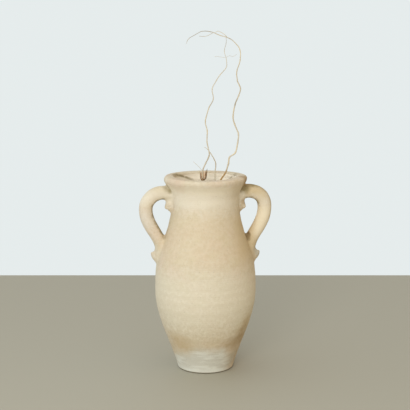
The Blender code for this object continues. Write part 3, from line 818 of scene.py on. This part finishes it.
def potting_mix(finish):
    """Body of the mix: sides along the wall, a crumbly top, and a hole where each stem stands."""
    sides = up_wall(inner_radius, GRAVEL_Z + SLIP, SOIL_Z, MIX_STEP) - (FILL_GAP, 0.0)
    bottom = level_rows(0.0, sides[0, 0], FLAT_RINGS, GRAVEL_Z + SLIP)[:-1]
    top = level_rows(sides[-1, 0], 0.0, CRUMB_RINGS, SOIL_Z)[1:]
    outline = np.vstack([bottom, sides, top])
    points = turned(outline, np.zeros(len(outline)))
    crown = points[-len(top):]
    crown[..., 2] = soil_height(crown[..., 0], crown[..., 1])
    faces = grid_faces(len(outline), AROUND)
    made = finished("potting_mix_bed", points, faces, finish, "potting_mix", "pot", "potting_soil")
    merge_points(made.data)
    for stem in STEMS.values():
        drill(made, stem)
    smooth(made.data)
    return made


def merge_points(mesh):
    """Closes the poles, where a whole ring of points lies at one place."""
    shape = bmesh.new()
    shape.from_mesh(mesh)
    bmesh.ops.remove_doubles(shape, verts=shape.verts, dist=MERGE)
    bmesh.ops.recalc_face_normals(shape, faces=shape.faces)
    shape.to_mesh(mesh)
    shape.free()


def drill(piece, stem):
    """Cuts the hole that a stem stands in."""
    shape = bmesh.new()
    radius, depth = stem["diameter"] / 2 + STEM_PLAY, STEM_DEPTH + 4 * SOIL_CROWN
    size = {"radius1": radius, "radius2": radius, "depth": depth}
    bmesh.ops.create_cone(shape, cap_ends=True, segments=HOLE_SIDES, **size)
    middle = SOIL_Z - STEM_DEPTH - SLIP + depth / 2
    bmesh.ops.translate(shape, verts=shape.verts, vec=(*stem["entry"], middle))
    mesh = bpy.data.meshes.new("stem_hole")
    shape.to_mesh(mesh)
    shape.free()
    cutter = placed("stem_hole", mesh)
    cut = piece.modifiers.new("stem_hole", "BOOLEAN")
    cut.operation, cut.solver, cut.object = "DIFFERENCE", "EXACT", cutter
    graph = bpy.context.evaluated_depsgraph_get()
    made = bpy.data.meshes.new_from_object(piece.evaluated_get(graph))
    piece.modifiers.clear()
    piece.data = made
    bpy.data.objects.remove(cutter)


def mix_crumbs(finish):
    """Chips of bark and crumbs that lie on the mix, clear of the stems."""
    random = np.random.default_rng(61)
    rim = float(inner_radius(SOIL_Z)) - FILL_GAP - CHIP_MARGIN
    turn = random.uniform(0.0, TURN, CHIPS)
    out = rim * np.sqrt(random.uniform(0.0, 1.0, CHIPS))
    x, y = out * np.cos(turn), out * np.sin(turn)
    size = random.uniform(CHIP_LEAST, CHIP_MOST, (CHIPS, 3)) * CHIP_SHAPE
    entries = np.array([stem["entry"] for stem in STEMS.values()])
    away = np.hypot(x[:, None] - entries[:, 0], y[:, None] - entries[:, 1]).min(1)
    keep = away > CHIP_CLEAR
    centres = np.stack([x, y, soil_height(x, y) + size[:, 2] * CHIP_RISE], -1)
    points, faces = lumps(centres[keep], size[keep], seed=62, rough=CHIP_UNEVEN)
    return finished("mix_crumbs", points, faces, finish, "potting_mix", "pot", None)


# How strongly every matte finish reflects
SPECULAR = 0.3

# Colours of the clay
CREAM = (0.735, 0.636, 0.473)
ROSY = (0.735, 0.604, 0.451)
STRAW = (0.705, 0.612, 0.425)
SAND = (0.760, 0.685, 0.515)
PALE = (0.820, 0.742, 0.585)
BORE = (0.970, 0.875, 0.705)
BUTTER = (0.900, 0.785, 0.575)
BLUSH = (0.660, 0.490, 0.345)
WHITE = (0.780, 0.740, 0.640)
HONEY = (0.635, 0.495, 0.285)
TAN = (0.540, 0.405, 0.225)
BUFF = (0.500, 0.388, 0.212)
OCHRE = (0.530, 0.375, 0.180)
RUST = (0.360, 0.225, 0.090)
UMBER = (0.270, 0.205, 0.085)
SIENNA = (0.185, 0.110, 0.035)
SMOKE = (0.460, 0.440, 0.360)
CHALK = (0.640, 0.620, 0.530)
LIME = (0.840, 0.830, 0.730)
GRIME_AND_SHADOW = (0.190, 0.140, 0.075)

# Colours of the filling
BRICK, BRICK_DUST = (0.50, 0.27, 0.15), (0.58, 0.42, 0.30)
STONE_GREY, STONE_BROWN, STONE_PALE = (0.34, 0.33, 0.31), (0.36, 0.28, 0.20), (0.55, 0.52, 0.47)
MIX_DARK, MIX_DRY, FIBRE = (0.055, 0.036, 0.024), (0.17, 0.115, 0.070), (0.36, 0.27, 0.17)

# Colours of the stems and of the leaf
BARK, BARK_STRAW, BARK_DARK = (0.57, 0.46, 0.30), (0.80, 0.69, 0.48), (0.25, 0.21, 0.165)
BARK_GREY, BARK_WARM, BARK_PALE = (0.58, 0.55, 0.49), (0.43, 0.245, 0.070), (0.74, 0.66, 0.48)
KNOT = (0.16, 0.115, 0.07)
LEAF_STRAW, STRAW_VEIN = (0.95, 0.74, 0.53), (0.73, 0.52, 0.34)
LEAF_BROWN, BROWN_VEIN = (0.26, 0.150, 0.068), (0.42, 0.26, 0.125)
LEAF_EDGE, LEAF_END = (0.14, 0.07, 0.03), (0.04, 0.022, 0.012)

# Stains on the clay, and painted shade in the creases and crotches round the handles and under the lip:
# colour, share, centre, and the distances where a stain fades and ends
STAINS_AND_SHADE = (
    (OCHRE, 0.45, (-0.112, -0.092, 0.128), 0.006, 0.060),
    (TAN, 0.40, (-0.078, -0.118, 0.112), 0.006, 0.055),
    (OCHRE, 0.55, (0.135, -0.068, 0.172), 0.010, 0.080),
    (RUST, 0.50, (0.124, -0.072, 0.142), 0.006, 0.055),
    (RUST, 0.45, (0.100, -0.096, 0.118), 0.006, 0.050),
    (RUST, 0.30, (0.070, -0.116, 0.112), 0.004, 0.040),
    (SMOKE, 0.45, (0.080, -0.075, 0.045), 0.008, 0.055),
    # Next four lines: painted shade on the right handle's top and at its root under the lip, with some
    # real staining
    (HONEY, 0.85, (0.172, -0.014, 0.668), 0.025, 0.055),
    (HONEY, 0.55, (0.206, -0.010, 0.632), 0.012, 0.042),
    (UMBER, 0.90, (0.133, -0.020, 0.658), 0.012, 0.032),
    (UMBER, 0.80, (0.166, 0.004, 0.672), 0.008, 0.030),
    # Next line: painted shade in the crease at the left handle's root
    (UMBER, 0.62, (-0.136, -0.020, 0.660), 0.004, 0.026),
    (RUST, 0.82, (0.140, -0.046, 0.686), 0.014, 0.036),
    (HONEY, 0.20, (0.108, -0.100, 0.690), 0.010, 0.050),
    # Next line: painted shade under the lip on the right
    (TAN, 0.24, (0.098, -0.082, 0.655), 0.020, 0.065),
    (BUFF, 0.35, (-0.182, -0.010, 0.668), 0.015, 0.050),
    (RUST, 0.45, (0.148, -0.010, 0.690), 0.006, 0.040),
    (BLUSH, 0.45, (-0.118, -0.088, 0.690), 0.020, 0.060),
    # Next five lines: painted shadow in the crotches where the handles land and in the left root's
    # crease, with some real staining
    (SIENNA, 1.00, (0.1485, -0.013, 0.489), 0.009, 0.018),
    (SIENNA, 1.00, (0.1510, -0.016, 0.475), 0.006, 0.015),
    (UMBER, 0.65, (-0.145, -0.012, 0.480), 0.003, 0.014),
    (UMBER, 0.75, (-0.126, -0.026, 0.650), 0.003, 0.015),
    (BUFF, 0.40, (0.152, -0.010, 0.470), 0.010, 0.034),
    (SMOKE, 0.75, (0.187, 0.000, 0.425), 0.010, 0.034),
    (SMOKE, 0.25, (-0.187, 0.000, 0.425), 0.008, 0.030),
    # Next line: painted shade in the notch between the right handle's coil and its tail
    (RUST, 0.60, (0.134, -0.006, 0.606), 0.006, 0.018),
)

# How far a stain's edge wanders, as a share of its size, and an edge of the painted shade on a handle
RAGGED = 1.0
EDGE_WANDER = 0.6

# Lines of painted shade in the mouth: slope, height on the axis, where a line fades in across, and its
# share
SHADE_LINES = (
    (0.411, 0.6575, -0.022, -0.058, 0.80),
    (-1.070, 0.5814, 0.088, 0.096, 0.45),
)

# Heights between which a zone of the clay comes in and goes out again
BELLY_ZONE = (0.09, 0.18, 0.31, 0.41)
SHOULDER_ZONE = (0.35, 0.45, 0.54, 0.60)
NECK_ZONE = (0.582, 0.616, 0.664, 0.686)
CREASE_ZONE = (0.640, 0.660, 0.670, 0.682)
RIGHT_COIL_ZONE = (0.45, 0.50, 0.57, 0.62)
TAN_ZONE = (0.024, 0.059, 0.074, 0.180)

# Where bands on the clay start and where they are full: up the jar
SCUFFED = (0.26, 0.13)
CHALK_TOP, LIT_EDGE_TOP, GROUND_EDGE = (0.085, 0.041), (0.030, 0.010), (0.0052, 0.0024)
LEFT_COIL_LOW, GAP_LOW, OUTER_LOW = (0.46, 0.53), (0.46, 0.50), (0.46, 0.55)
ARCH_LOW, MOUTH_LOW = (0.585, 0.605), (0.660, 0.672)

# The same from left to right, from front to back, out from the axis and off a line of painted shade
SHOULDER_LEFT, SHOULDER_RIGHT = (-0.172, -0.148), (0.07, 0.13)
CHALK_RIGHT, LIT_EDGE_RIGHT = (0.098, 0.040), (0.080, 0.020)
LEFT_SIDE, LEFT_COIL = (-0.10, -0.14), (-0.138, -0.165)
RIGHT_SIDE, RIGHT_COIL = (0.14, 0.17), (0.160, 0.190)
MOUTH_BACK, MOUTH_OUT, SHADE_LINE_OFF = (0.0, 0.03), (0.128, 0.120), (0.0072, 0.0008)

# The same round a handle's coil, from -1 on its outer side to 1 towards its gap, for the painted shade
# on its edges
GAP_EDGE, OUTER_EDGE = (0.62, 0.93), (-0.62, -1.02)

# Level of the tan and the chalk: the height, less a share of the way to the front or back, so that
# both stand higher there, and uneven by two noises
LEVEL_TILT, LEVEL_UNEVEN, LEVEL_RAGGED = -0.42, 0.030, 0.016

# Where a highlight is painted on the left handle, and the feet of two stems
HIGHLIGHT_SPOT = (-0.206, -0.020, 0.550)
RIGHT_STEM_FOOT = (0.046, -0.036, 0.690)
MIDDLE_STEM_FOOT = (0.038, 0.033, 0.685)

# How much finer the throwing lines, the chalk's streaks and the bark are along each axis
LINE_STRETCH = (4.0, 4.0, 260.0)
STREAK_STRETCH = (14.0, 14.0, 70.0)
BARK_STRETCH = (2.2, 2.2, 60.0)


class Nodes:
    """Adds nodes to a tree. An input is a value or another node's output, and a call gives an output."""

    def __init__(self, tree):
        self.tree = tree

    def fill(self, socket, value):
        if isinstance(value, bpy.types.NodeSocket):
            self.tree.links.new(value, socket)
        else:
            socket.default_value = value

    def add(self, kind, inputs=(), out=0, **settings):
        made = self.tree.nodes.new(f"ShaderNode{kind}")
        for name, value in settings.items():
            setattr(made, name, value)
        for name, value in dict(inputs).items():
            self.fill(made.inputs[name], value)
        return made.outputs[out]

    def math(self, operation, *values):
        return self.add("Math", enumerate(values), operation=operation)

    def vector(self, operation, *values, out=0):
        return self.add("VectorMath", enumerate(values), out, operation=operation)

    def axes(self, vector):
        """The three parts of a vector."""
        return self.add("SeparateXYZ", {0: vector}).node.outputs

    def noise(self, vector, scale, detail=3.0, out=0):
        return self.add("TexNoise", {"Vector": vector, "Scale": scale, "Detail": detail}, out)

    def times(self, value, *shares):
        """The product of several values or masks."""
        for share in shares:
            value = self.math("MULTIPLY", value, share)
        return value

    def eased(self, value, low, high, start=0.0, end=1.0):
        """From start to end, gently, as a value goes from low to high."""
        ends = {"Value": value, "From Min": low, "From Max": high, "To Min": start, "To Max": end}
        return self.add("MapRange", ends, interpolation_type="SMOOTHSTEP")

    def band(self, value, low, high):
        """Eases from 0 to 1 as a value goes from low to high, or from 1 to 0 where low is the larger."""
        falls = low > high
        return self.eased(value, min(low, high), max(low, high), float(falls), float(not falls))

    def zone(self, value, start, full, fade, end):
        """1 where a value lies from full to fade, easing to 0 at start and at end."""
        return self.times(self.band(value, start, full), self.band(value, end, fade))

    def mixed(self, share, a, b):
        """Colour a with this share of colour b."""
        a, b = [(*color, 1.0) if isinstance(color, tuple) else color for color in (a, b)]
        return self.add("Mix", {0: share, 6: a, 7: b}, 2, data_type="RGBA")


def new_group(name, output, **inputs):
    """Node group that takes a vector and these numbers; gives its nodes, inputs and output."""
    tree = bpy.data.node_groups.new(name, "ShaderNodeTree")
    tree.interface.new_socket("Vector", in_out="INPUT", socket_type="NodeSocketVector")
    for label, value in inputs.items():
        socket = tree.interface.new_socket(label, in_out="INPUT", socket_type="NodeSocketFloat")
        socket.default_value = value
    tree.interface.new_socket(output, in_out="OUTPUT", socket_type="NodeSocketFloat")
    given = tree.nodes.new("NodeGroupInput").outputs
    return Nodes(tree), given, tree.nodes.new("NodeGroupOutput").inputs[output]


def patches_group():
    """Soft patches: fractal noise, eased between two levels."""
    nodes, given, put = new_group("patches", "Mask", Scale=10.0, Low=0.4, High=0.6)
    value = nodes.noise(given["Vector"], given["Scale"], 4.0)
    nodes.fill(put, nodes.eased(value, given["Low"], given["High"]))


def specks_group():
    """Round specks: the middles of some cells of a Voronoi pattern, picked by each cell's own
    random colour."""
    nodes, given, put = new_group("specks", "Mask", Scale=200.0, Share=0.2, Size=0.35)
    pattern = {"Vector": given["Vector"], "Scale": given["Scale"]}
    cells = nodes.add("TexVoronoi", pattern).node.outputs
    picked = nodes.add("SeparateColor", {0: cells["Color"]})
    picked = nodes.math("LESS_THAN", picked, given["Share"])
    dot = nodes.eased(cells["Distance"], 0.0, given["Size"], 1.0, 0.0)
    nodes.fill(put, nodes.times(dot, picked))


def grain_group():
    """Height of a gritty surface: coarse noise, and half as much noise that is 3.7 times as fine."""
    nodes, given, put = new_group("grain", "Height", Scale=300.0)
    coarse = nodes.noise(given["Vector"], given["Scale"], 2.0)
    fine = nodes.noise(given["Vector"], nodes.times(given["Scale"], 3.7), 2.0)
    nodes.fill(put, nodes.math("MULTIPLY_ADD", fine, 0.5, coarse))


class Finish(Nodes):
    """A matte material in the making: its shader's inputs, the place on the piece, and the colour so
    far. Patches, specks and grain are node groups that the materials share."""

    def __init__(self, name, roughness, color):
        self.made = bpy.data.materials.new(name)
        self.made.use_nodes = True
        super().__init__(self.made.node_tree)
        self.shader = self.tree.nodes["Principled BSDF"].inputs
        self.shader["Roughness"].default_value = roughness
        self.shader["Specular IOR Level"].default_value = SPECULAR
        self.place = self.add("TexCoord", out="Object")
        self.color = color

    def group(self, kind, vector=None, **inputs):
        inputs["Vector"] = self.place if vector is None else vector
        return self.add("Group", inputs, node_tree=bpy.data.node_groups[kind])

    def patches(self, scale, low, high, vector=None):
        """Soft patches of this scale, between two levels of their noise."""
        return self.group("patches", vector, Scale=scale, Low=low, High=high)

    def specks(self, scale, share, size):
        """Specks of this scale and size, in a share of the cells."""
        return self.group("specks", Scale=scale, Share=share, Size=size)

    def grain(self, scale):
        return self.group("grain", Scale=scale)

    def mark(self, name, out):
        """Value stored on the piece's points."""
        return self.add("Attribute", out=out, attribute_name=name)

    def near(self, centre, inner, outer, place=None):
        """1 within the inner distance of a point, easing to 0 at the outer one."""
        place = self.place if place is None else place
        return self.band(self.vector("DISTANCE", place, centre, out="Value"), outer, inner)

    def paint(self, color, share, *masks):
        """Lays a colour on by its share, where all the masks are."""
        self.color = self.mixed(self.times(*masks, share), self.color, color)

    def done(self, height, strength, distance):
        """The material, with its colour and a bump of this height on its shader."""
        bump = {"Height": height, "Strength": strength, "Distance": distance}
        self.fill(self.shader["Base Color"], self.color)
        self.fill(self.shader["Normal"], self.add("Bump", bump))
        return self.made


def fired_clay():
    """Cream fired clay: soft patches, throwing lines, specks, a warm shoulder, a pale neck and bore
    lifted by painted light, stains and painted shade in creases and on the handles' edges, a chalky foot
    under a tan band with a painted highlight and painted contact shadow at its foot, and lines of
    painted shade in the mouth."""
    clay = Finish("jar_clay", 0.85, CREAM)
    place = clay.place
    across, depth, height = clay.axes(place)
    clay.paint(ROSY, 1.0, clay.patches(7.0, 0.38, 0.62))
    clay.paint(STRAW, 0.60, clay.patches(23.0, 0.45, 0.70))
    lines = clay.noise(clay.vector("MULTIPLY", place, LINE_STRETCH), 1.0)
    clay.paint(BUFF, 0.16, clay.band(lines, 0.52, 0.68), clay.patches(6.0, 0.40, 0.65))
    clay.paint(BUFF, 0.23, clay.patches(70.0, 0.38, 0.64))
    clay.paint(WHITE, 0.26, clay.patches(150.0, 0.45, 0.68))

    # Sandy belly; a warm shoulder, deeper on the right, partly as painted shade; a pale neck and a paler
    # band under the lip, painted light that lifts their shade; a painted highlight on the left handle
    # and painted light on the right handle
    belly = clay.zone(height, *BELLY_ZONE)
    clay.paint(SAND, 0.68, belly)
    shoulder = clay.times(clay.zone(height, *SHOULDER_ZONE), clay.band(across, *SHOULDER_LEFT))
    # The shoulder is deeper on the right: partly its own warm colour, partly painted shade on the side
    # away from the light
    deeper = clay.math("MULTIPLY_ADD", clay.band(across, *SHOULDER_RIGHT), 0.45, 0.32)
    clay.paint(HONEY, 1.0, shoulder, deeper)
    # Pale neck, and a paler band under the lip: painted light that lifts their shade
    clay.paint(PALE, 0.62, clay.zone(height, *NECK_ZONE))
    clay.paint(BUTTER, 0.40, clay.zone(height, *CREASE_ZONE))
    # Painted highlight on the left handle's top
    clay.paint(WHITE, 0.38, clay.near(HIGHLIGHT_SPOT, 0.012, 0.055))
    # Paler colour on the right handle's middle: painted light that lifts its shade
    clay.paint(BUTTER, 0.80, clay.band(across, *RIGHT_COIL), clay.zone(height, *RIGHT_COIL_ZONE))

    # Scuffed low down: a tan zone with an uneven edge, higher at the front and back
    uneven = clay.noise(place, 16.0, 4.0)
    ragged = clay.noise(place, 70.0)
    level = clay.math("MULTIPLY_ADD", clay.math("ABSOLUTE", depth), LEVEL_TILT, height)
    level = clay.math("MULTIPLY_ADD", uneven, LEVEL_UNEVEN, level)
    level = clay.math("MULTIPLY_ADD", ragged, LEVEL_RAGGED, level)
    clay.paint(TAN, 0.33, clay.zone(level, *TAN_ZONE))
    clay.paint(BUFF, 0.26, clay.patches(105.0, 0.46, 0.64), clay.band(height, *SCUFFED))
    clay.paint(PALE, 0.40, clay.patches(90.0, 0.50, 0.62), belly)

    # Stains and painted shade, with ragged, broken edges
    broken = clay.math("MULTIPLY_ADD", clay.band(uneven, 0.32, 0.56), 0.5, 0.5)
    wobble = clay.vector("SUBTRACT", clay.noise(place, 26.0, 4.0, "Color"), (0.5, 0.5, 0.5))
    for color, share, centre, inner, outer in STAINS_AND_SHADE:
        strayed = clay.vector("MULTIPLY_ADD", wobble, (RAGGED * outer,) * 3, place)
        clay.paint(color, share, clay.near(centre, inner, outer, strayed), broken)

    # Painted shade: dark edges round the handles' gaps, and on the right handle's outer side
    wander = clay.math("MULTIPLY_ADD", ragged, EDGE_WANDER, -EDGE_WANDER / 2)
    gap = clay.math("ADD", clay.mark("gap", "Fac"), wander)
    arch = clay.math("MAXIMUM", clay.band(across, *LEFT_SIDE), clay.band(height, *ARCH_LOW))
    clay.paint(UMBER, 0.70, clay.band(gap, *GAP_EDGE), clay.band(height, *GAP_LOW), arch)
    outer = clay.times(clay.band(gap, *OUTER_EDGE), clay.band(across, *RIGHT_SIDE))
    clay.paint(UMBER, 0.42, outer, broken, clay.band(height, *OUTER_LOW))

    # Chalky foot, which fades on the right and is streaked, with a pale band of painted highlight along
    # its bottom and a dark line of painted contact shadow at the ground
    chalk = clay.times(clay.band(level, *CHALK_TOP), clay.band(across, *CHALK_RIGHT))
    clay.paint(CHALK, 0.90, chalk)
    streaks = clay.vector("MULTIPLY", place, STREAK_STRETCH)
    clay.paint(LIME, 0.56, clay.patches(1.0, 0.44, 0.62, streaks), chalk)
    # Pale band along the foot's bottom edge: painted highlight
    clay.paint(LIME, 0.60, clay.band(height, *LIT_EDGE_TOP), clay.band(across, *LIT_EDGE_RIGHT))
    # Dark line at the ground: painted contact shadow
    clay.paint(GRIME_AND_SHADOW, 0.95, clay.band(height, *GROUND_EDGE))

    # Bore painted pale, as painted light that lifts its shade, with a slanting dark line of painted
    # shade on each side
    clay.paint(BORE, 1.0, clay.mark("inside", "Fac"))
    radius = clay.vector("LENGTH", clay.vector("MULTIPLY", place, (1.0, 1.0, 0.0)), out="Value")
    mouth = clay.times(clay.band(radius, *MOUTH_OUT), clay.band(height, *MOUTH_LOW))
    mouth = clay.times(mouth, clay.band(depth, *MOUTH_BACK), clay.patches(55.0, 0.22, 0.52))
    # Dark slanting lines: painted shade in the mouth
    for slope, line, start, end, share in SHADE_LINES:
        slant = clay.math("MULTIPLY_ADD", across, slope, height)
        off = clay.math("ABSOLUTE", clay.math("SUBTRACT", slant, line))
        clay.paint(UMBER, share, clay.band(off, *SHADE_LINE_OFF), clay.band(across, start, end), mouth)

    # Pits and specks; the left handle is a little glossier
    pits, dark = clay.specks(80.0, 0.14, 0.24), clay.specks(210.0, 0.12, 0.30)
    clay.paint(GRIME_AND_SHADOW, 0.24, pits)
    clay.paint(GRIME_AND_SHADOW, 0.38, dark)
    clay.paint(CHALK, 0.30, clay.specks(150.0, 0.12, 0.35))
    rough = clay.add("MapRange", {"Value": uneven, "To Min": 0.66, "To Max": 0.95})
    left = clay.times(clay.band(across, *LEFT_COIL), clay.band(height, *LEFT_COIL_LOW))
    clay.fill(clay.shader["Roughness"], clay.math("MULTIPLY_ADD", left, -0.22, rough))
    relief = clay.math("MULTIPLY_ADD", lines, 0.45, clay.grain(260.0))
    for hollow in (pits, dark):
        relief = clay.math("MULTIPLY_ADD", hollow, -0.6, relief)
    return clay.done(relief, 0.35, 0.0012)


def shard_clay():
    """Broken red clay, dusty in patches."""
    shard = Finish("broken_clay", 0.9, BRICK)
    shard.paint(BRICK_DUST, 1.0, shard.patches(60.0, 0.4, 0.65))
    shard.paint(GRIME_AND_SHADOW, 0.5, shard.specks(300.0, 0.2, 0.35))
    return shard.done(shard.grain(300.0), 0.4, 0.001)


def gravel_stone():
    """Washed stones in greys and browns that change from stone to stone."""
    stone = Finish("washed_gravel", 0.75, STONE_GREY)
    stone.paint(STONE_BROWN, 1.0, stone.patches(45.0, 0.42, 0.58))
    stone.paint(STONE_PALE, 1.0, stone.patches(90.0, 0.55, 0.7))
    return stone.done(stone.grain(500.0), 0.25, 0.0006)


def potting_soil():
    """Dry composted bark: dark crumbs with paler fibre."""
    soil = Finish("bark_mix", 0.95, MIX_DARK)
    soil.paint(MIX_DRY, 1.0, soil.patches(110.0, 0.4, 0.68))
    soil.paint(FIBRE, 0.8, soil.specks(330.0, 0.16, 0.4))
    return soil.done(soil.grain(420.0), 0.7, 0.0015)


def dry_bark():
    """Dry bark: pale straw streaks along the stem, dark and grey patches, dark knots, a warm brown
    foot on the right stem and a pale one on the middle stem."""
    bark = Finish("stem_bark", 0.8, BARK)
    along = bark.vector("MULTIPLY", bark.mark("bark", "Vector"), BARK_STRETCH)
    bark.paint(BARK_STRAW, 1.0, bark.patches(1.3, 0.36, 0.64, along))
    bark.paint(BARK_DARK, 0.65, bark.patches(13.0, 0.48, 0.66))
    bark.paint(BARK_GREY, 0.5, bark.patches(30.0, 0.4, 0.65))
    bark.paint(BARK_WARM, 0.90, bark.near(RIGHT_STEM_FOOT, 0.028, 0.056))
    bark.paint(BARK_PALE, 0.85, bark.near(MIDDLE_STEM_FOOT, 0.022, 0.040))
    bark.paint(KNOT, 0.7, bark.specks(90.0, 0.10, 0.35))
    return bark.done(bark.noise(along, 2.5, 4.0), 0.5, 0.0006)


def brittle_leaf():
    """Brittle leaf: straw strips and brown ones, dark along the curled edges and at the foot."""
    leaf = Finish("brittle_leaf", 0.75, LEAF_STRAW)
    edge, brown, along = leaf.axes(leaf.mark("leaf", "Vector"))
    veins = leaf.patches(260.0, 0.4, 0.62)
    leaf.paint(STRAW_VEIN, 1.0, veins)
    leaf.paint(leaf.mixed(veins, LEAF_BROWN, BROWN_VEIN), 1.0, brown)
    curled = leaf.math("MAXIMUM", brown, 0.20)
    leaf.paint(LEAF_EDGE, 0.80, leaf.band(edge, 0.60, 0.98), curled)
    tip = leaf.times(leaf.band(along, 0.80, 0.95), brown)
    leaf.paint(LEAF_END, 0.90, leaf.math("MAXIMUM", leaf.band(along, 0.15, 0.02), tip))
    return leaf.done(leaf.noise(leaf.place, 700.0), 0.5, 0.0005)


def photo_camera():
    """Camera at the photograph's distance, height and tilt."""
    data = bpy.data.cameras.new("photo_camera")
    data.lens = FOCAL_PIXELS * data.sensor_width / PHOTO_WIDTH
    data.shift_x = (PHOTO_WIDTH / 2 - AXIS_PIXEL) / PHOTO_WIDTH
    camera = placed("photo_camera", data)
    x, y = CAMERA_DISTANCE * math.sin(CAMERA_AZIMUTH), -CAMERA_DISTANCE * math.cos(CAMERA_AZIMUTH)
    camera.location = (x, y, CAMERA_HEIGHT)
    camera.rotation_euler = (TURN / 4 - CAMERA_PITCH, 0.0, CAMERA_AZIMUTH)
    bpy.context.scene.camera = camera


def soft_light():
    """Large round light at the front left."""
    data = bpy.data.lights.new("window", "AREA")
    data.shape = "DISK"
    data.size, data.energy, data.color = LIGHT_SIZE, LIGHT_POWER, LIGHT_COLOR
    light = placed("window", data)
    light.location = LIGHT_PLACE
    toward = Vector(LIGHT_TARGET) - Vector(LIGHT_PLACE)
    light.rotation_euler = toward.to_track_quat("-Z", "Y").to_euler()


def studio():
    """Pale square floor that faces the camera, and pale surroundings, warmer and dimmer on the right."""
    pale = Finish("pale_floor", 0.7, FLOOR_COLOR)
    pale.fill(pale.shader["Base Color"], pale.color)
    mesh = bpy.data.meshes.new("floor")
    turn = CAMERA_AZIMUTH + np.radians((225, 315, 45, 135))
    corners = FLOOR_REACH * math.sqrt(2) * grid_points(np.cos(turn), np.sin(turn), 0.0)
    mesh.from_pydata(corners.tolist(), [], [(0, 1, 2, 3)])
    mesh.materials.append(pale.made)
    floor = placed("floor", mesh)
    world = bpy.data.worlds.new("pale_room")
    world.use_nodes = True
    air = Nodes(world.node_tree)
    right = air.band(air.axes(air.add("TexCoord", out="Generated"))["X"], -0.1, 0.9)
    around = air.mixed(right, COOL_SIDE, WARM_SIDE)
    seen = air.mixed(air.add("LightPath", out="Is Camera Ray"), around, BACKDROP)
    air.fill(air.tree.nodes["Background"].inputs["Color"], seen)
    bpy.context.scene.world = world
    bpy.context.scene.view_settings.view_transform = "Standard"


photo_camera()
for make_group in (patches_group, specks_group, grain_group):
    make_group()
clay_finish = fired_clay()
for make_section in (base_section, shoulder_section, neck_rim):
    make_section(clay_finish)
for hand, side in (("left", -1), ("right", 1)):
    handle(hand, side, clay_finish)
drain_shard(shard_clay())
gravel_bed(gravel_stone())
mix_finish = potting_soil()
potting_mix(mix_finish)
mix_crumbs(mix_finish)
bark_finish = dry_bark()
for stem_name in STEMS:
    dry_stem(stem_name, bark_finish)
dry_leaf(brittle_leaf())
studio()
soft_light()
